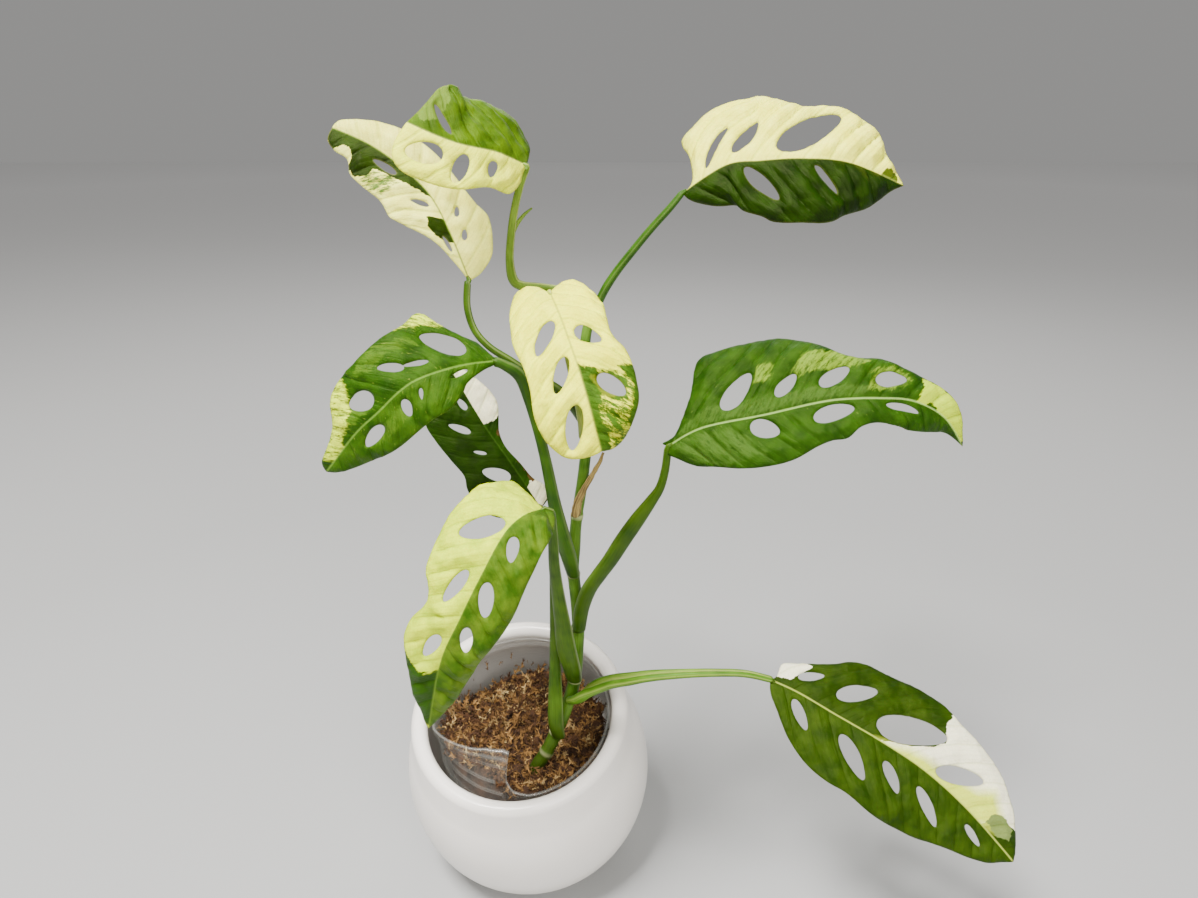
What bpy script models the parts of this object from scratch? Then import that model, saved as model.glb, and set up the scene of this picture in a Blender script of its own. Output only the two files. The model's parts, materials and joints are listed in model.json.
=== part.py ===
"""A variegated Monstera adansonii growing in moss, in a clear nursery cup inside a ball-shaped ceramic pot.

Lengths in the values below are millimetres. +Z is up, the pot's flat foot is centred on the origin,
and the plant is seen from the front when looking along +Y.
"""
import math

import bmesh
import bpy
from mathutils import Matrix, Vector, noise
from mathutils.geometry import delaunay_2d_cdt

MM = 0.001
SEAT_GAP = 0.3

# Pot: a ball with a slanted, rounded mouth and a flat foot; its belly sits a little below the mouth's centre
BALL_RADIUS = 64.7
BALL_LOWER_REACH = 70.0
BALL_INNER_REACH = 61.0
BALL_UPPER_REACH = 81.0
BALL_DROP = 3.0
MOUTH_CENTRE_HEIGHT = 60.5
MOUTH_SLANT = 20.5
MOUTH_TURN = -9.5
LIP_RADIUS = 51.5
LIP_HEIGHT = 46.9
LIP_ROUND = 4.2
POT_WALL = 6.0
POT_FLOOR = 9.0
POT_SIDES = 44

# Nursery cup, measured along its own slanted axis from the mouth's centre
CUP_RIM_RADIUS = 45.8
CUP_BASE_RADIUS = 29.0
CUP_SHOULDER_RADIUS = 43.6
CUP_SHOULDER_HEIGHT = 0.0
CUP_RIM_STEP = 1.0
CUP_RIM_HEIGHT = 46.0
CUP_BASE_HEIGHT = -45.4
CUP_SHIFT_BACK = 1.0
CUP_SHIFT_RIGHT = 0.3
CUP_WALL = 0.9
CUP_SIDES = 40
# The rim is squashed inward here: compass angle in degrees against radius
CUP_DENT = [
    (199, 0.0), (207, 4.0), (220, 11.0), (239, 19.5), (258, 23.0), (267, 22.5), (271, 8.0), (277, 2.6),
    (287, 0.0),
]

# Moss: height of its surface at the middle, and how fast it drops toward the viewer
MOSS_HEIGHT = 87.0
MOSS_SLOPE = 0.14
MOSS_BUMP = 2.6
# Hollow toward the back left: x, y, depth and half width
MOSS_HOLLOW = (-24, 22, 9.0, 17.0)
MOSS_GAP = 1.5
MOSS_DENT_GAP = 0.30

# Blades
BLADE_THICKNESS = 0.8
MIDRIB_RISE = 0.9
BLADE_MESH_STEP = 9.0

# Main stem: x, y, z and diameter, from inside the moss to the last node
STEM = [
    (2.5, -34, 71, 6.6),
    (6, -35, 85, 6.6),
    (12, -34, 95, 6.6),
    (17, -32, 106, 6.6),
    (22, -31, 121, 6.2),
    (26, -30, 136, 6.2),
    (28, -28, 155, 6.0),
    (28, -27, 169, 6.0),
    (26, -26, 193, 5.6),
    (27, -25, 207, 5.4),
    (28, -24, 221, 5.2),
    (31, -22, 244, 5.0),
    (33, -20, 262, 4.8),
    (33, -18, 283, 4.6),
    (32, -16, 302, 4.4),
    (36, -14, 317, 4.2),
]
# Heights of the ringed nodes on the stem
STEM_NODES = [95, 106, 136, 164, 193, 222, 259]

# Petioles: x, y, z and width along each one, and the side that its open channel looks to; a spike is the
# free tip of a leaf sheath that has stayed on the petiole
PETIOLES = {
    "back_left": {
        "line": [
            (18, -36, 107, 7.0), (17, -38, 117, 8.0), (17, -36, 129, 7.5), (17, -33, 144, 6.0),
            (17, -31, 160, 5.0), (17, -29, 180, 4.4), (17, -29, 202, 4.0), (16, -31, 218, 3.6),
            (13.4, -34, 230.3, 3.0),
        ],
        "channel": (0.4, 0.9, 0.1),
    },
    "lower_right": {
        "line": [
            (25.5, -33, 127, 8.4), (29, -38, 132.5, 9.6), (34, -41.5, 139.3, 9.8), (43, -43.5, 144.9, 9.2),
            (52.5, -46.5, 149, 8.2), (62, -49.5, 153, 6.8), (76, -52, 156, 5.2), (90, -54, 158, 4.4),
            (104, -54, 157.5, 4.0), (116.4, -54.1, 154.3, 3.6),
        ],
        "channel": (-0.1, 0.1, 1.0),
    },
    "lower_left": {
        "line": [
            (26, -33, 139, 8.0), (25, -38, 149, 9.0), (23, -43, 163, 9.5), (21.5, -47, 181, 7.5),
            (20, -50, 197, 6.0), (19, -56, 215, 5.0), (19, -61, 231, 4.2), (19, -66, 243, 3.4),
            (19, -69, 247, 3.0),
        ],
        "channel": (0.3, 0.9, 0.2),
    },
    "right": {
        "line": [
            (28.5, -29, 164, 6.6), (30, -31, 177, 7.6), (33.2, -34, 189, 8.2), (38, -38, 199.5, 8.2),
            (43, -41, 209, 8.2), (48.6, -43, 220.2, 8.4), (54.5, -44.3, 230.7, 7.8),
            (60.2, -44.5, 239.7, 5.8), (63.8, -44.5, 246, 4.3), (65.8, -44, 254, 3.7), (66.6, -44, 263, 3.4),
        ],
        "channel": (-0.45, 0.85, 0.25),
    },
    "middle_left": {
        "line": [
            (26, -28, 194, 7.0), (24, -33, 207, 8.5), (21, -37, 222, 8.5), (18.5, -40, 238, 6.5),
            (16, -43, 256, 5.4), (13.5, -46, 271, 5.0), (10, -49, 287, 5.0), (7, -51.5, 298, 6.4),
            (1, -53, 303, 4.6), (-2.5, -53.6, 304.5, 4.2),
        ],
        "channel": (0.6, 0.8, 0.2),
    },
    "front": {
        "line": [
            (32, -22, 260, 6.0), (31.5, -28, 271, 6.0), (29, -34, 286, 5.0),
            (26, -39, 303, 4.4), (23, -42.5, 318, 4.0), (20.5, -43.8, 327, 3.4), (19, -45, 329.5, 3.0),
        ],
        "channel": (0.2, 0.9, 0.1),
    },
    "upper_left": {
        "line": [
            (32, -19, 265, 6.0), (27, -23, 275, 6.5), (20, -26, 284, 6.0), (10, -30, 291.5, 5.0),
            (1, -33, 299, 4.2),
            (-7, -34, 305, 3.6), (-12.5, -34, 312, 3.4), (-15, -33, 321, 3.2), (-14.7, -30.8, 330.3, 3),
        ],
        "channel": (0.4, 0.5, 0.7),
    },
    "upper_right": {
        "line": [
            (36, -15, 315, 5.0), (40, -16, 324, 5.5), (45, -17, 332, 5.0), (51, -18, 340, 4.6),
            (59, -19, 350, 4.2), (66, -20, 358, 3.8), (70.5, -20, 363.5, 3.2),
        ],
        "channel": (-0.6, 0.0, 0.8),
    },
    "top": {
        "line": [
            (35, -14.8, 319.4, 4.0), (26, -15.5, 323, 4.0), (14, -16, 325, 4.0), (6, -17, 326, 4.4),
            (2.4, -18, 329, 4.6),
            (1.4, -19, 337, 3.6), (2.4, -20, 347, 3.4), (4.2, -22, 357, 3.2), (7, -24, 367, 3),
            (10, -26, 374.3, 2.8),
        ],
        "channel": (0.5, 0.8, 0.3),
        "spike": [(2, -20, 345, 1.8), (4.5, -20, 351, 1.8), (7.8, -19, 355.2, 1.4), (11.1, -18, 357.8, 0.7)],
    },
}

# The dried sheath: x, y, z and width
DRIED_SHEATH = [
    (27.5, -26, 224, 5.8), (28.5, -27.5, 231, 5.0), (31.5, -28, 238, 3.4), (35, -27, 244, 2.6),
    (38, -25, 249, 2.0),
    (40, -23, 253, 1.4),
]

# Blades. Each has its midrib from base to tip as x, y, z; the way its face looks at the base and at the tip;
# the rise of its left and right halves in degrees at the base and at the tip; the bow of its halves; the
# wave of its edge as height, length and start; and, measured along the midrib and out from it, the outline
# of each half and the holes as place along, place across, length, width and lean.
LEAVES = {
    "upper_left": {
        "midrib": [
            (-14, -30, 331), (-21, -25, 348), (-29, -21, 363), (-41, -17, 374), (-53, -15, 382),
            (-67, -14, 388),
        ],
        "face": [(0.2, -0.9, 0.35), (0.1, -0.9, 0.4)],
        "fold": [(8, 0), (8, 0)],
        "bow": -1.0,
        "wave": (1.0, 40, 0.1),
        "left": [
            (4, 1.4), (10, 3.5), (20, 7.7), (30, 14.7), (40, 18), (50, 15.8), (60, 15.8), (69, 14),
            (73, 9.2), (79, 8),
            (83, 5),
        ],
        "right": [
            (1, 5), (5, 11), (10, 14), (20, 16.8), (27, 14.2), (35, 12.6), (48, 13), (60, 12.3),
            (70, 9.2), (80, 4.9),
            (82.5, 2.5),
        ],
        "holes": [
            (36.5, 5, 8, 2.2, 33), (16.5, 2.8, 7, 1.6, 8), (57.5, 4, 11, 2.8, 5),
            (26.5, -6, 3.9, 2, 28), (17.3, -5, 4.2, 2.2, 25), (42, -4.6, 4, 1.5, 60),
        ],
        "colour": "EDE9C8",
    },
    "top": {
        "midrib": [
            (10, -26, 375), (4, -32, 378.5), (-1, -37, 381), (-12, -44, 384), (-20, -46.5, 387),
            (-26, -47, 389.6), (-31, -46.3, 391.8),
        ],
        "face": [(0.25, -0.8, 0.5), (0.0, -0.9, 0.4)],
        "fold": [(-14, -10), (-14, -10)],
        "bow": -1.0,
        "wave": (0.8, 40, 0.2),
        "left": [
            (1.6, 4), (1.8, 7.5), (5.5, 12.6), (11, 13.4), (20, 13.5), (30, 16), (40, 16.5), (47, 16),
            (51.5, 12.5),
            (52.5, 6.5),
        ],
        "right": [
            (-2.5, 5), (-4, 12), (0, 19.8), (10, 23), (20, 22.8), (30, 22), (37, 22.6), (43, 20.3),
            (46.5, 16.5),
            (48.5, 9.5), (50, 4),
        ],
        "holes": [
            (41.8, 7.2, 13, 7.4, 18), (29.5, 8.5, 11, 4.8, 76), (17, 6.6, 6.4, 4.6, 70),
            (39.5, -7, 13, 3, 38),
        ],
        "colour": "B7C75C",
    },
    "upper_right": {
        "midrib": [
            (71, -20, 364), (87, -25, 375), (100, -28, 377), (116, -30, 378), (135, -27, 376),
            (159.5, -18, 366.5),
        ],
        "face": [(-0.1, -0.8, 0.55), (-0.1, -0.8, 0.55)],
        "fold": [(-12, -8), (-12, -8)],
        "bow": -1.5,
        "wave": (0.8, 50, 0.2),
        "left": [
            (5.5, 1.5), (8, 12), (6.8, 20.2), (10, 25), (20, 29), (32, 33), (42, 31), (50, 28),
            (66, 27.3), (75, 24.7),
            (84, 20.5), (88, 11.8), (92.5, 5),
        ],
        "right": [
            (1, 3.5), (4, 7.5), (10, 12.5), (18, 15.7), (32, 20), (38, 23.2), (48, 24.4), (60, 24),
            (70, 20), (80, 15.2),
            (86, 10), (91, 4.5),
        ],
        "holes": [
            (17.5, 10.2, 17, 3, 55), (28, 12, 17.5, 5, 60), (54, 13.5, 33, 12, 33), (34, -8.9, 18, 5, 45),
            (59, -7.8, 14, 2.8, 46),
        ],
        "colour": "DDE5A0",
    },
    "front": {
        "midrib": [
            (19, -46, 330), (23.5, -62, 325), (27.5, -74, 318), (31, -82, 310), (34, -87, 301),
            (36.5, -90, 292), (39, -90, 282),
        ],
        "face": [(0.05, -0.6, 0.7), (0.05, -0.95, 0.3)],
        "fold": [(-8, -8), (-8, -8)],
        "bow": -1.0,
        "wave": (0.8, 40, 0.2),
        "left": [
            (-4.5, 3.5), (-8.3, 8), (-8, 12), (-4, 16), (4, 18), (13, 18), (22, 16.8), (30, 16.3),
            (40, 19.3), (50, 19.6),
            (60, 17.9), (70, 12), (74.5, 6),
        ],
        "right": [
            (-2.5, 1.8), (-6.5, 4), (-8, 9.5), (-4, 13.5), (5, 17), (14, 19), (25, 19.8), (36, 18.8),
            (45, 19), (55, 20.2),
            (63, 19.5), (70, 16.7), (74.5, 12.5), (75.5, 6),
        ],
        "holes": [
            (29.5, 7.5, 11, 7, 45), (51.5, 9.9, 12, 6.3, 40), (25.5, -8.2, 16.5, 6, 33),
            (43, -6.8, 14.5, 5, 30),
            (63.5, -7.4, 17.5, 6.2, 20),
        ],
        "colour": "D9DC8C",
    },
    "middle_left": {
        "midrib": [
            (-1.5, -54, 305), (-14, -63, 306), (-28, -70, 303.5), (-36, -72, 299), (-45, -72, 290.5),
            (-55.5, -70, 280.5), (-69.5, -66, 263),
        ],
        "face": [(0.2, -0.7, 0.6), (0.2, -0.85, 0.4)],
        "fold": [(-6, -6), (-6, -6)],
        "bow": -1.0,
        "wave": (0.8, 50, 0.4),
        "left": [
            (2, 1.6), (6, 2.8), (12, 5.4), (16, 7.6), (18, 10), (22, 13), (28, 15.3), (40, 15.7),
            (50, 15.3), (60, 14.7),
            (70, 12.4), (80, 8.3), (87, 3.8),
        ],
        "right": [
            (1, 2), (5, 8.7), (10, 12), (15, 17), (18, 20.5), (20.5, 25), (24, 26.3), (30, 22.5),
            (38, 21), (48, 20),
            (55, 20.3), (62, 19), (67, 15.5), (71, 9.8), (78, 6.3), (88, 3.8),
        ],
        "holes": [
            (17.5, 2.9, 8, 1.8, 12), (34.5, 5.4, 4.5, 1.8, 60), (43.5, 6.4, 7, 4.6, 60),
            (62, 5.6, 13, 4.8, 6),
            (18.8, -10.8, 18, 8.2, 38), (31, -6.2, 9, 2.2, 15), (39, -9.4, 9.5, 3.3, 40),
            (56.5, -7.4, 12, 7.6, 18),
        ],
        "colour": "4E8A2E",
    },
    "back_left": {
        "midrib": [
            (12.5, -34, 231), (5, -33, 243.5), (-2.5, -31, 255), (-9.5, -29, 265), (-15, -27, 274),
            (-20, -25, 282.5), (-25.5, -22.5, 292),
        ],
        "face": [(0.2, -0.9, 0.4), (0.2, -0.9, 0.3)],
        "fold": [(6, 6), (6, 6)],
        "bow": -1.0,
        "wave": (0.8, 50, 0.4),
        "left": [
            (-1, 3), (3, 12), (10, 19.5), (18, 22.5), (26, 22), (32, 19.7), (40, 20.2), (50, 21.3),
            (58, 21), (66, 16), (70, 10),
        ],
        "right": [
            (2, 5), (5.5, 6.5), (9, 6.5), (14, 4.2), (22, 3.4), (31, 2.2), (38, 3.6), (44, 7), (50, 9.9),
            (56, 9.8), (62, 8), (69, 5),
        ],
        "holes": [
            (24, 8, 13, 5.6, 40), (36, 8.2, 5.6, 1.5, 45), (48.7, 9.8, 10, 3, 40), (57, 3.4, 6, 2.8, 10),
        ],
        "colour": "2F6B26",
    },
    "lower_left": {
        "midrib": [
            (16, -70, 249), (9, -82, 252), (2, -90, 248), (-7, -97, 233), (-15, -100, 217),
            (-24, -99, 196), (-32, -94, 160),
        ],
        "face": [(0.1, -0.4, 0.9), (0.1, -0.95, 0.3)],
        "fold": [(-5, -8), (-5, -8)],
        "bow": -1.0,
        "wave": (0.8, 60, 0.4),
        "left": [
            (-2.5, 4), (2.5, 8.6), (9.5, 12.4), (18, 15.4), (30, 16.7), (40, 17), (50, 17.7), (60, 17.4),
            (70, 15.6),
            (80, 14.4), (90, 13.4), (100, 10.6), (108, 8), (115, 4.3),
        ],
        "right": [
            (-2, 5.5), (-6, 13.5), (-8, 20), (-3, 24), (8, 24), (20, 23.8), (30, 23.2), (42, 22),
            (52, 20.4), (57, 17),
            (62, 14.9), (68, 15.2), (74, 17), (81, 17), (87, 14.8), (96, 11), (105, 8.4), (113, 4.8),
        ],
        "holes": [
            (28.8, 5.9, 10.5, 4.8, 20), (51.3, 6, 14.5, 5.8, 20), (70.3, 6, 12.3, 5, 18),
            (27.8, -9, 18, 8.2, 48),
            (52, -7, 16, 5, 12), (79.5, -5.4, 12, 5, 15),
        ],
        "colour": "7FA63C",
    },
    "right": {
        "midrib": [
            (67, -44, 265), (80, -49, 275), (104, -55, 283), (128, -58, 290), (148, -58, 291),
            (162, -56, 289), (176, -53, 281), (187, -49.5, 267),
        ],
        "face": [(-0.1, -0.75, 0.6), (-0.1, -0.75, 0.6)],
        "fold": [(-5, -8), (-5, -8)],
        "bow": -1.0,
        "wave": (0.8, 60, 0.4),
        "left": [
            (-2.5, 2.4), (4.5, 2.6), (11, 8.3), (15, 15), (17, 21), (19.5, 29.5), (26, 32.5), (40, 34),
            (52, 33.5),
            (60, 30.6), (70, 24.3), (76, 20), (82, 18), (91, 17.5), (100, 14.3), (107, 12), (114, 11.3),
            (121, 9.5), (128, 6),
        ],
        "right": [
            (-2, 2.6), (0.5, 6), (5, 11.3), (10, 14.5), (20, 17), (30, 19.3), (40, 20.4), (50, 20),
            (60, 17), (67, 15.6),
            (74, 15.3), (80, 11.2), (87, 9.6), (96, 11), (103, 11.8), (112, 10), (120, 6.7), (127, 3),
        ],
        "holes": [
            (33, 12.4, 19, 8.5, 47), (53.5, 10.5, 12.2, 6, 40), (72, 10.2, 13.4, 6.3, 30),
            (94, 8.4, 12.7, 6.3, 6),
            (42, -5.6, 11.8, 7.2, 28), (69.5, -4.9, 17, 6.4, -8), (98, -3.4, 15.5, 3, 5),
        ],
        "colour": "4F8F35",
    },
    "lower_right": {
        "midrib": [
            (116, -54, 154), (128, -58, 150), (143, -65, 144), (162, -73, 136), (181, -81, 126),
            (199, -90, 112), (217, -101, 94),
        ],
        "face": [(-0.1, -0.5, 0.85), (-0.1, -0.6, 0.75)],
        "fold": [(-4, -6), (-4, -6)],
        "bow": -1.0,
        "wave": (0.8, 60, 0.4),
        "left": [
            (2, 3), (2.8, 10), (9, 13.3), (16, 17.5), (22, 22), (28, 27), (36, 30.3), (50, 31.5),
            (60, 32.8), (67, 32.8),
            (75, 30.8), (82, 28.5), (92, 27), (100, 25), (107, 21.7), (113, 17.5), (119, 12.5), (124, 6.5),
        ],
        "right": [
            (0.7, 3.2), (3, 7.5), (7, 11.5), (13, 16.7), (20, 20.8), (30, 25.4), (40, 27.6), (50, 27.5),
            (62, 29), (72, 28.6),
            (80, 27.3), (90, 25), (100, 20.5), (110, 16), (116, 12.7), (121, 9), (125, 4),
        ],
        "holes": [
            (15.5, 10.2, 12, 4, 40), (36.7, 14.6, 20.5, 7.5, 38), (63.5, 12, 31.5, 12.5, 26),
            (89.5, 8.9, 22.5, 7.5, 33),
            (18, -8.3, 14.5, 5, 38), (45.7, -12.7, 21, 7, 35), (64.7, -11, 14.7, 5, 35),
            (85.5, -11.5, 19, 5, 24),
            (108.5, -6.2, 11, 3.2, 8),
        ],
        "colour": "4A8A3A",
    },
}


def srgb(code):
    """Linear colour from a six-digit web colour."""
    values = [int(code[i:i + 2], 16) / 255 for i in (0, 2, 4)]
    linear = [v / 12.92 if v <= 0.04045 else ((v + 0.055) / 1.055) ** 2.4 for v in values]
    return (*linear, 1.0)


def make_material(name, colour, roughness, metallic=0.0):
    material = bpy.data.materials.new(name)
    material.use_nodes = True
    shader = material.node_tree.nodes["Principled BSDF"]
    shader.inputs["Base Color"].default_value = srgb(colour)
    shader.inputs["Roughness"].default_value = roughness
    shader.inputs["Metallic"].default_value = metallic
    material.diffuse_color = srgb(colour)
    return material


def make_object(name, points, faces, material, smooth=True):
    """A mesh object from points in millimetres."""
    mesh = bpy.data.meshes.new(name)
    mesh.from_pydata([Vector(p) * MM for p in points], [], faces)
    mesh.materials.append(material)
    shape = bmesh.new()
    shape.from_mesh(mesh)
    bmesh.ops.recalc_face_normals(shape, faces=shape.faces[:])
    for face in shape.faces:
        face.smooth = smooth
    shape.to_mesh(mesh)
    shape.free()
    item = bpy.data.objects.new(name, mesh)
    bpy.context.collection.objects.link(item)
    return item


def rounded_line(points, steps):
    """A line through all the points, rounded between them."""
    line = []
    for i in range(len(points) - 1):
        p0, p1 = points[max(i - 1, 0)], points[i]
        p2, p3 = points[i + 1], points[min(i + 2, len(points) - 1)]
        for step in range(steps):
            t = step / steps
            bend = (p0 * 2 - p1 * 5 + p2 * 4 - p3) * t ** 2 + (p1 * 3 - p0 - p2 * 3 + p3) * t ** 3
            line.append((p1 * 2 + (p2 - p0) * t + bend) * 0.5)
    line.append(points[-1].copy())
    return line


def ring_faces(rings, sides):
    """Quads between rings of points that are listed one ring after the other."""
    faces = []
    for ring in range(rings - 1):
        for side in range(sides):
            a = ring * sides + side
            b = ring * sides + (side + 1) % sides
            faces.append((a, b, b + sides, a + sides))
    return faces


def tube_solid(line, sides, section, look):
    """Points and faces of a closed tube; section gives a point of the outline for an angle and a width."""
    points = []
    for i, station in enumerate(line):
        ahead = line[min(i + 1, len(line) - 1)].xyz - line[max(i - 1, 0)].xyz
        ahead.normalize()
        up = (look - ahead * look.dot(ahead)).normalized()
        across = ahead.cross(up)
        for side in range(sides):
            x, y = section(math.tau * side / sides, station.w)
            points.append(station.xyz + across * x + up * y)
    faces = ring_faces(len(line), sides)
    start = len(points)
    points.append(line[0].xyz)
    points.append(line[-1].xyz)
    last = (len(line) - 1) * sides
    for side in range(sides):
        after = (side + 1) % sides
        faces.append((start, after, side))
        faces.append((start + 1, last + side, last + after))
    return points, faces


def round_section(angle, width):
    return math.cos(angle) * width / 2, math.sin(angle) * width / 2


def channel_section(angle, width):
    """A petiole's outline: flatter where it is wide, with a shallow channel on its upper side."""
    depth = min(width, 1.2 + 0.55 * width)
    x = math.cos(angle) * width / 2
    y = math.sin(angle) * depth / 2
    if y > 0:
        y *= 1 - 0.55 * math.exp(-(x / (0.26 * width)) ** 2)
    return x, y


def revolved_points(profile, sides, radius_at=None):
    """Rings of points around the Z axis; radius_at may change a ring's radius with its angle."""
    points = []
    for radius, height in profile:
        for side in range(sides):
            angle = math.tau * side / sides
            reach = radius if radius_at is None else radius_at(radius, height, angle)
            points.append(Vector((reach * math.cos(angle), reach * math.sin(angle), height)))
    return points


def close_with_poles(points, faces, rings, sides, first_centre, last_centre):
    """Fans that close the first and the last ring."""
    start = len(points)
    points.extend([Vector(first_centre), Vector(last_centre)])
    last = (rings - 1) * sides
    for side in range(sides):
        after = (side + 1) % sides
        faces.append((start, after, side))
        faces.append((start + 1, last + side, last + after))


def slanted(point):
    """From the mouth's own axis to the standing pot: leaned toward the viewer about the mouth's centre."""
    leaned = Matrix.Rotation(math.radians(MOUTH_SLANT), 3, "X") @ Vector(point)
    turned = Matrix.Rotation(math.radians(MOUTH_TURN), 3, "Z") @ leaned
    return turned + Vector((0, 0, MOUTH_CENTRE_HEIGHT))


def ball_place(degrees, inset):
    """Radius and height on the ball's profile, whose upper half is drawn out toward the mouth."""
    angle = math.radians(degrees)
    reach = BALL_UPPER_REACH - inset
    if degrees <= 0:
        reach = BALL_INNER_REACH if inset else BALL_LOWER_REACH
    return (BALL_RADIUS - inset) * math.cos(angle), reach * math.sin(angle)


def build_pot():
    """The ceramic ball, turned about its slanted axis as one wall that rolls over the lip."""
    profile = []
    for degrees in (-82, -72, -60, -46, -32, -18, -4, 9, 18, 27):
        profile.append(ball_place(degrees, 0.0))
    for degrees in (5, 45, 90, 135, 180):
        angle = math.radians(degrees)
        profile.append((LIP_RADIUS + LIP_ROUND * math.cos(angle), LIP_HEIGHT + LIP_ROUND * math.sin(angle)))
    for degrees in (29, 18, 6, -8, -24, -40, -55, -68, -80):
        profile.append(ball_place(degrees, POT_WALL))
    points = revolved_points(profile, POT_SIDES)
    faces = ring_faces(len(profile), POT_SIDES)
    outer_pole = (0, 0, -BALL_LOWER_REACH)
    inner_pole = (0, 0, -BALL_INNER_REACH)
    close_with_poles(points, faces, len(profile), POT_SIDES, outer_pole, inner_pole)
    points = [slanted(p) for p in points]
    belly_rings = 10
    lip_rings = 5
    for i, point in enumerate(points):
        ring = i // POT_SIDES
        if not belly_rings <= ring < belly_rings + lip_rings:
            point.z -= BALL_DROP
        if ring >= belly_rings + lip_rings and i != len(points) - 2:
            point.z = max(point.z, POT_FLOOR)
    pot = make_object("pot", points, faces, make_material("white_ceramic", "EDEBE6", 0.35))
    cut_flat(pot, 0.0)
    return pot


def cut_flat(item, height):
    """Cuts off what lies below the height and closes the cut with one flat face."""
    shape = bmesh.new()
    shape.from_mesh(item.data)
    cut = bmesh.ops.bisect_plane(
        shape, geom=shape.verts[:] + shape.edges[:] + shape.faces[:],
        plane_co=(0, 0, height * MM), plane_no=(0, 0, 1), clear_inner=True)
    rim = [e for e in cut["geom_cut"] if isinstance(e, bmesh.types.BMEdge)]
    filled = bmesh.ops.contextual_create(shape, geom=rim)
    for face in filled["faces"]:
        face.smooth = False
    bmesh.ops.recalc_face_normals(shape, faces=shape.faces[:])
    shape.to_mesh(item.data)
    shape.free()


def cup_place(point):
    """From the cup's own axis to the standing pot."""
    x, y, z = point
    return slanted((x + CUP_SHIFT_RIGHT, y + CUP_SHIFT_BACK, z))


def dent_depth(angle):
    degrees = math.degrees(angle) % 360
    for (start, depth), (end, next_depth) in zip(CUP_DENT, CUP_DENT[1:]):
        if start <= degrees <= end:
            share = (degrees - start) / (end - start)
            return depth + (next_depth - depth) * share
    return 0.0


def cup_reach(radius, height, angle):
    """The cup's radius with the squashed side, which fades out a little way under the rim."""
    share = (height - CUP_BASE_HEIGHT) / (CUP_RIM_HEIGHT - CUP_BASE_HEIGHT)
    fade = max(0.0, (share - 0.84) / 0.16) ** 1.2
    return radius - dent_depth(angle) * fade


def cup_radius(height):
    """The cup's wall: it widens quickly from the base to the shoulder and slowly above it."""
    if height < CUP_SHOULDER_HEIGHT:
        share = (height - CUP_BASE_HEIGHT) / (CUP_SHOULDER_HEIGHT - CUP_BASE_HEIGHT)
        return CUP_BASE_RADIUS + (CUP_SHOULDER_RADIUS - CUP_BASE_RADIUS) * share
    share = (height - CUP_SHOULDER_HEIGHT) / (CUP_RIM_HEIGHT - CUP_SHOULDER_HEIGHT)
    return CUP_SHOULDER_RADIUS + (CUP_RIM_RADIUS - CUP_RIM_STEP - CUP_SHOULDER_RADIUS) * share


def build_cup():
    """The thin clear cup with two ribs under a small rolled rim."""
    profile = [(CUP_BASE_RADIUS - 2.5, CUP_BASE_HEIGHT), (CUP_BASE_RADIUS, CUP_BASE_HEIGHT + 2.0)]
    for height in (-25.0, 0.0, 16.0):
        profile.append((cup_radius(height), height))
    for rib in (22.0, 28.0):
        profile.append((cup_radius(rib), rib))
        profile.append((cup_radius(rib) + 0.9, rib + 1.5))
        profile.append((cup_radius(rib), rib + 3.0))
    profile.append((cup_radius(34.5), 34.5))
    profile.append((CUP_RIM_RADIUS, 36.0))
    profile.append((CUP_RIM_RADIUS, CUP_RIM_HEIGHT))
    outer = len(profile)
    profile.append((CUP_RIM_RADIUS - 1.4, CUP_RIM_HEIGHT))
    for radius, height in profile[outer - 4:1:-1]:
        profile.append((radius - CUP_WALL, height))
    profile.append((CUP_BASE_RADIUS - CUP_WALL, CUP_BASE_HEIGHT + 2.0 + CUP_WALL))
    profile.append((CUP_BASE_RADIUS - 2.5 - CUP_WALL, CUP_BASE_HEIGHT + CUP_WALL))
    points = revolved_points(profile, CUP_SIDES, cup_reach)
    faces = ring_faces(len(profile), CUP_SIDES)
    close_with_poles(
        points, faces, len(profile), CUP_SIDES, (0, 0, CUP_BASE_HEIGHT), (0, 0, CUP_BASE_HEIGHT + CUP_WALL))
    points = [cup_place(p) for p in points]
    return make_object("nursery_cup", points, faces, make_material("clear_plastic", "B9BCBA", 0.2))


def moss_top(x, y):
    """Height of the moss above the table at a place, in millimetres."""
    place = Vector((x, y, 3.0))
    lumps = noise.noise(place / 11.0) * MOSS_BUMP
    strands = (1 - 2 * abs(noise.noise(place / 3.6 + Vector((7, 1, 4))))) * 1.3
    across, back, depth, width = MOSS_HOLLOW
    hollow = depth * math.exp(-((x - across) ** 2 + (y - back) ** 2) / width ** 2)
    return MOSS_HEIGHT + MOSS_SLOPE * (y + 10) + lumps + strands - hollow


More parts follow.
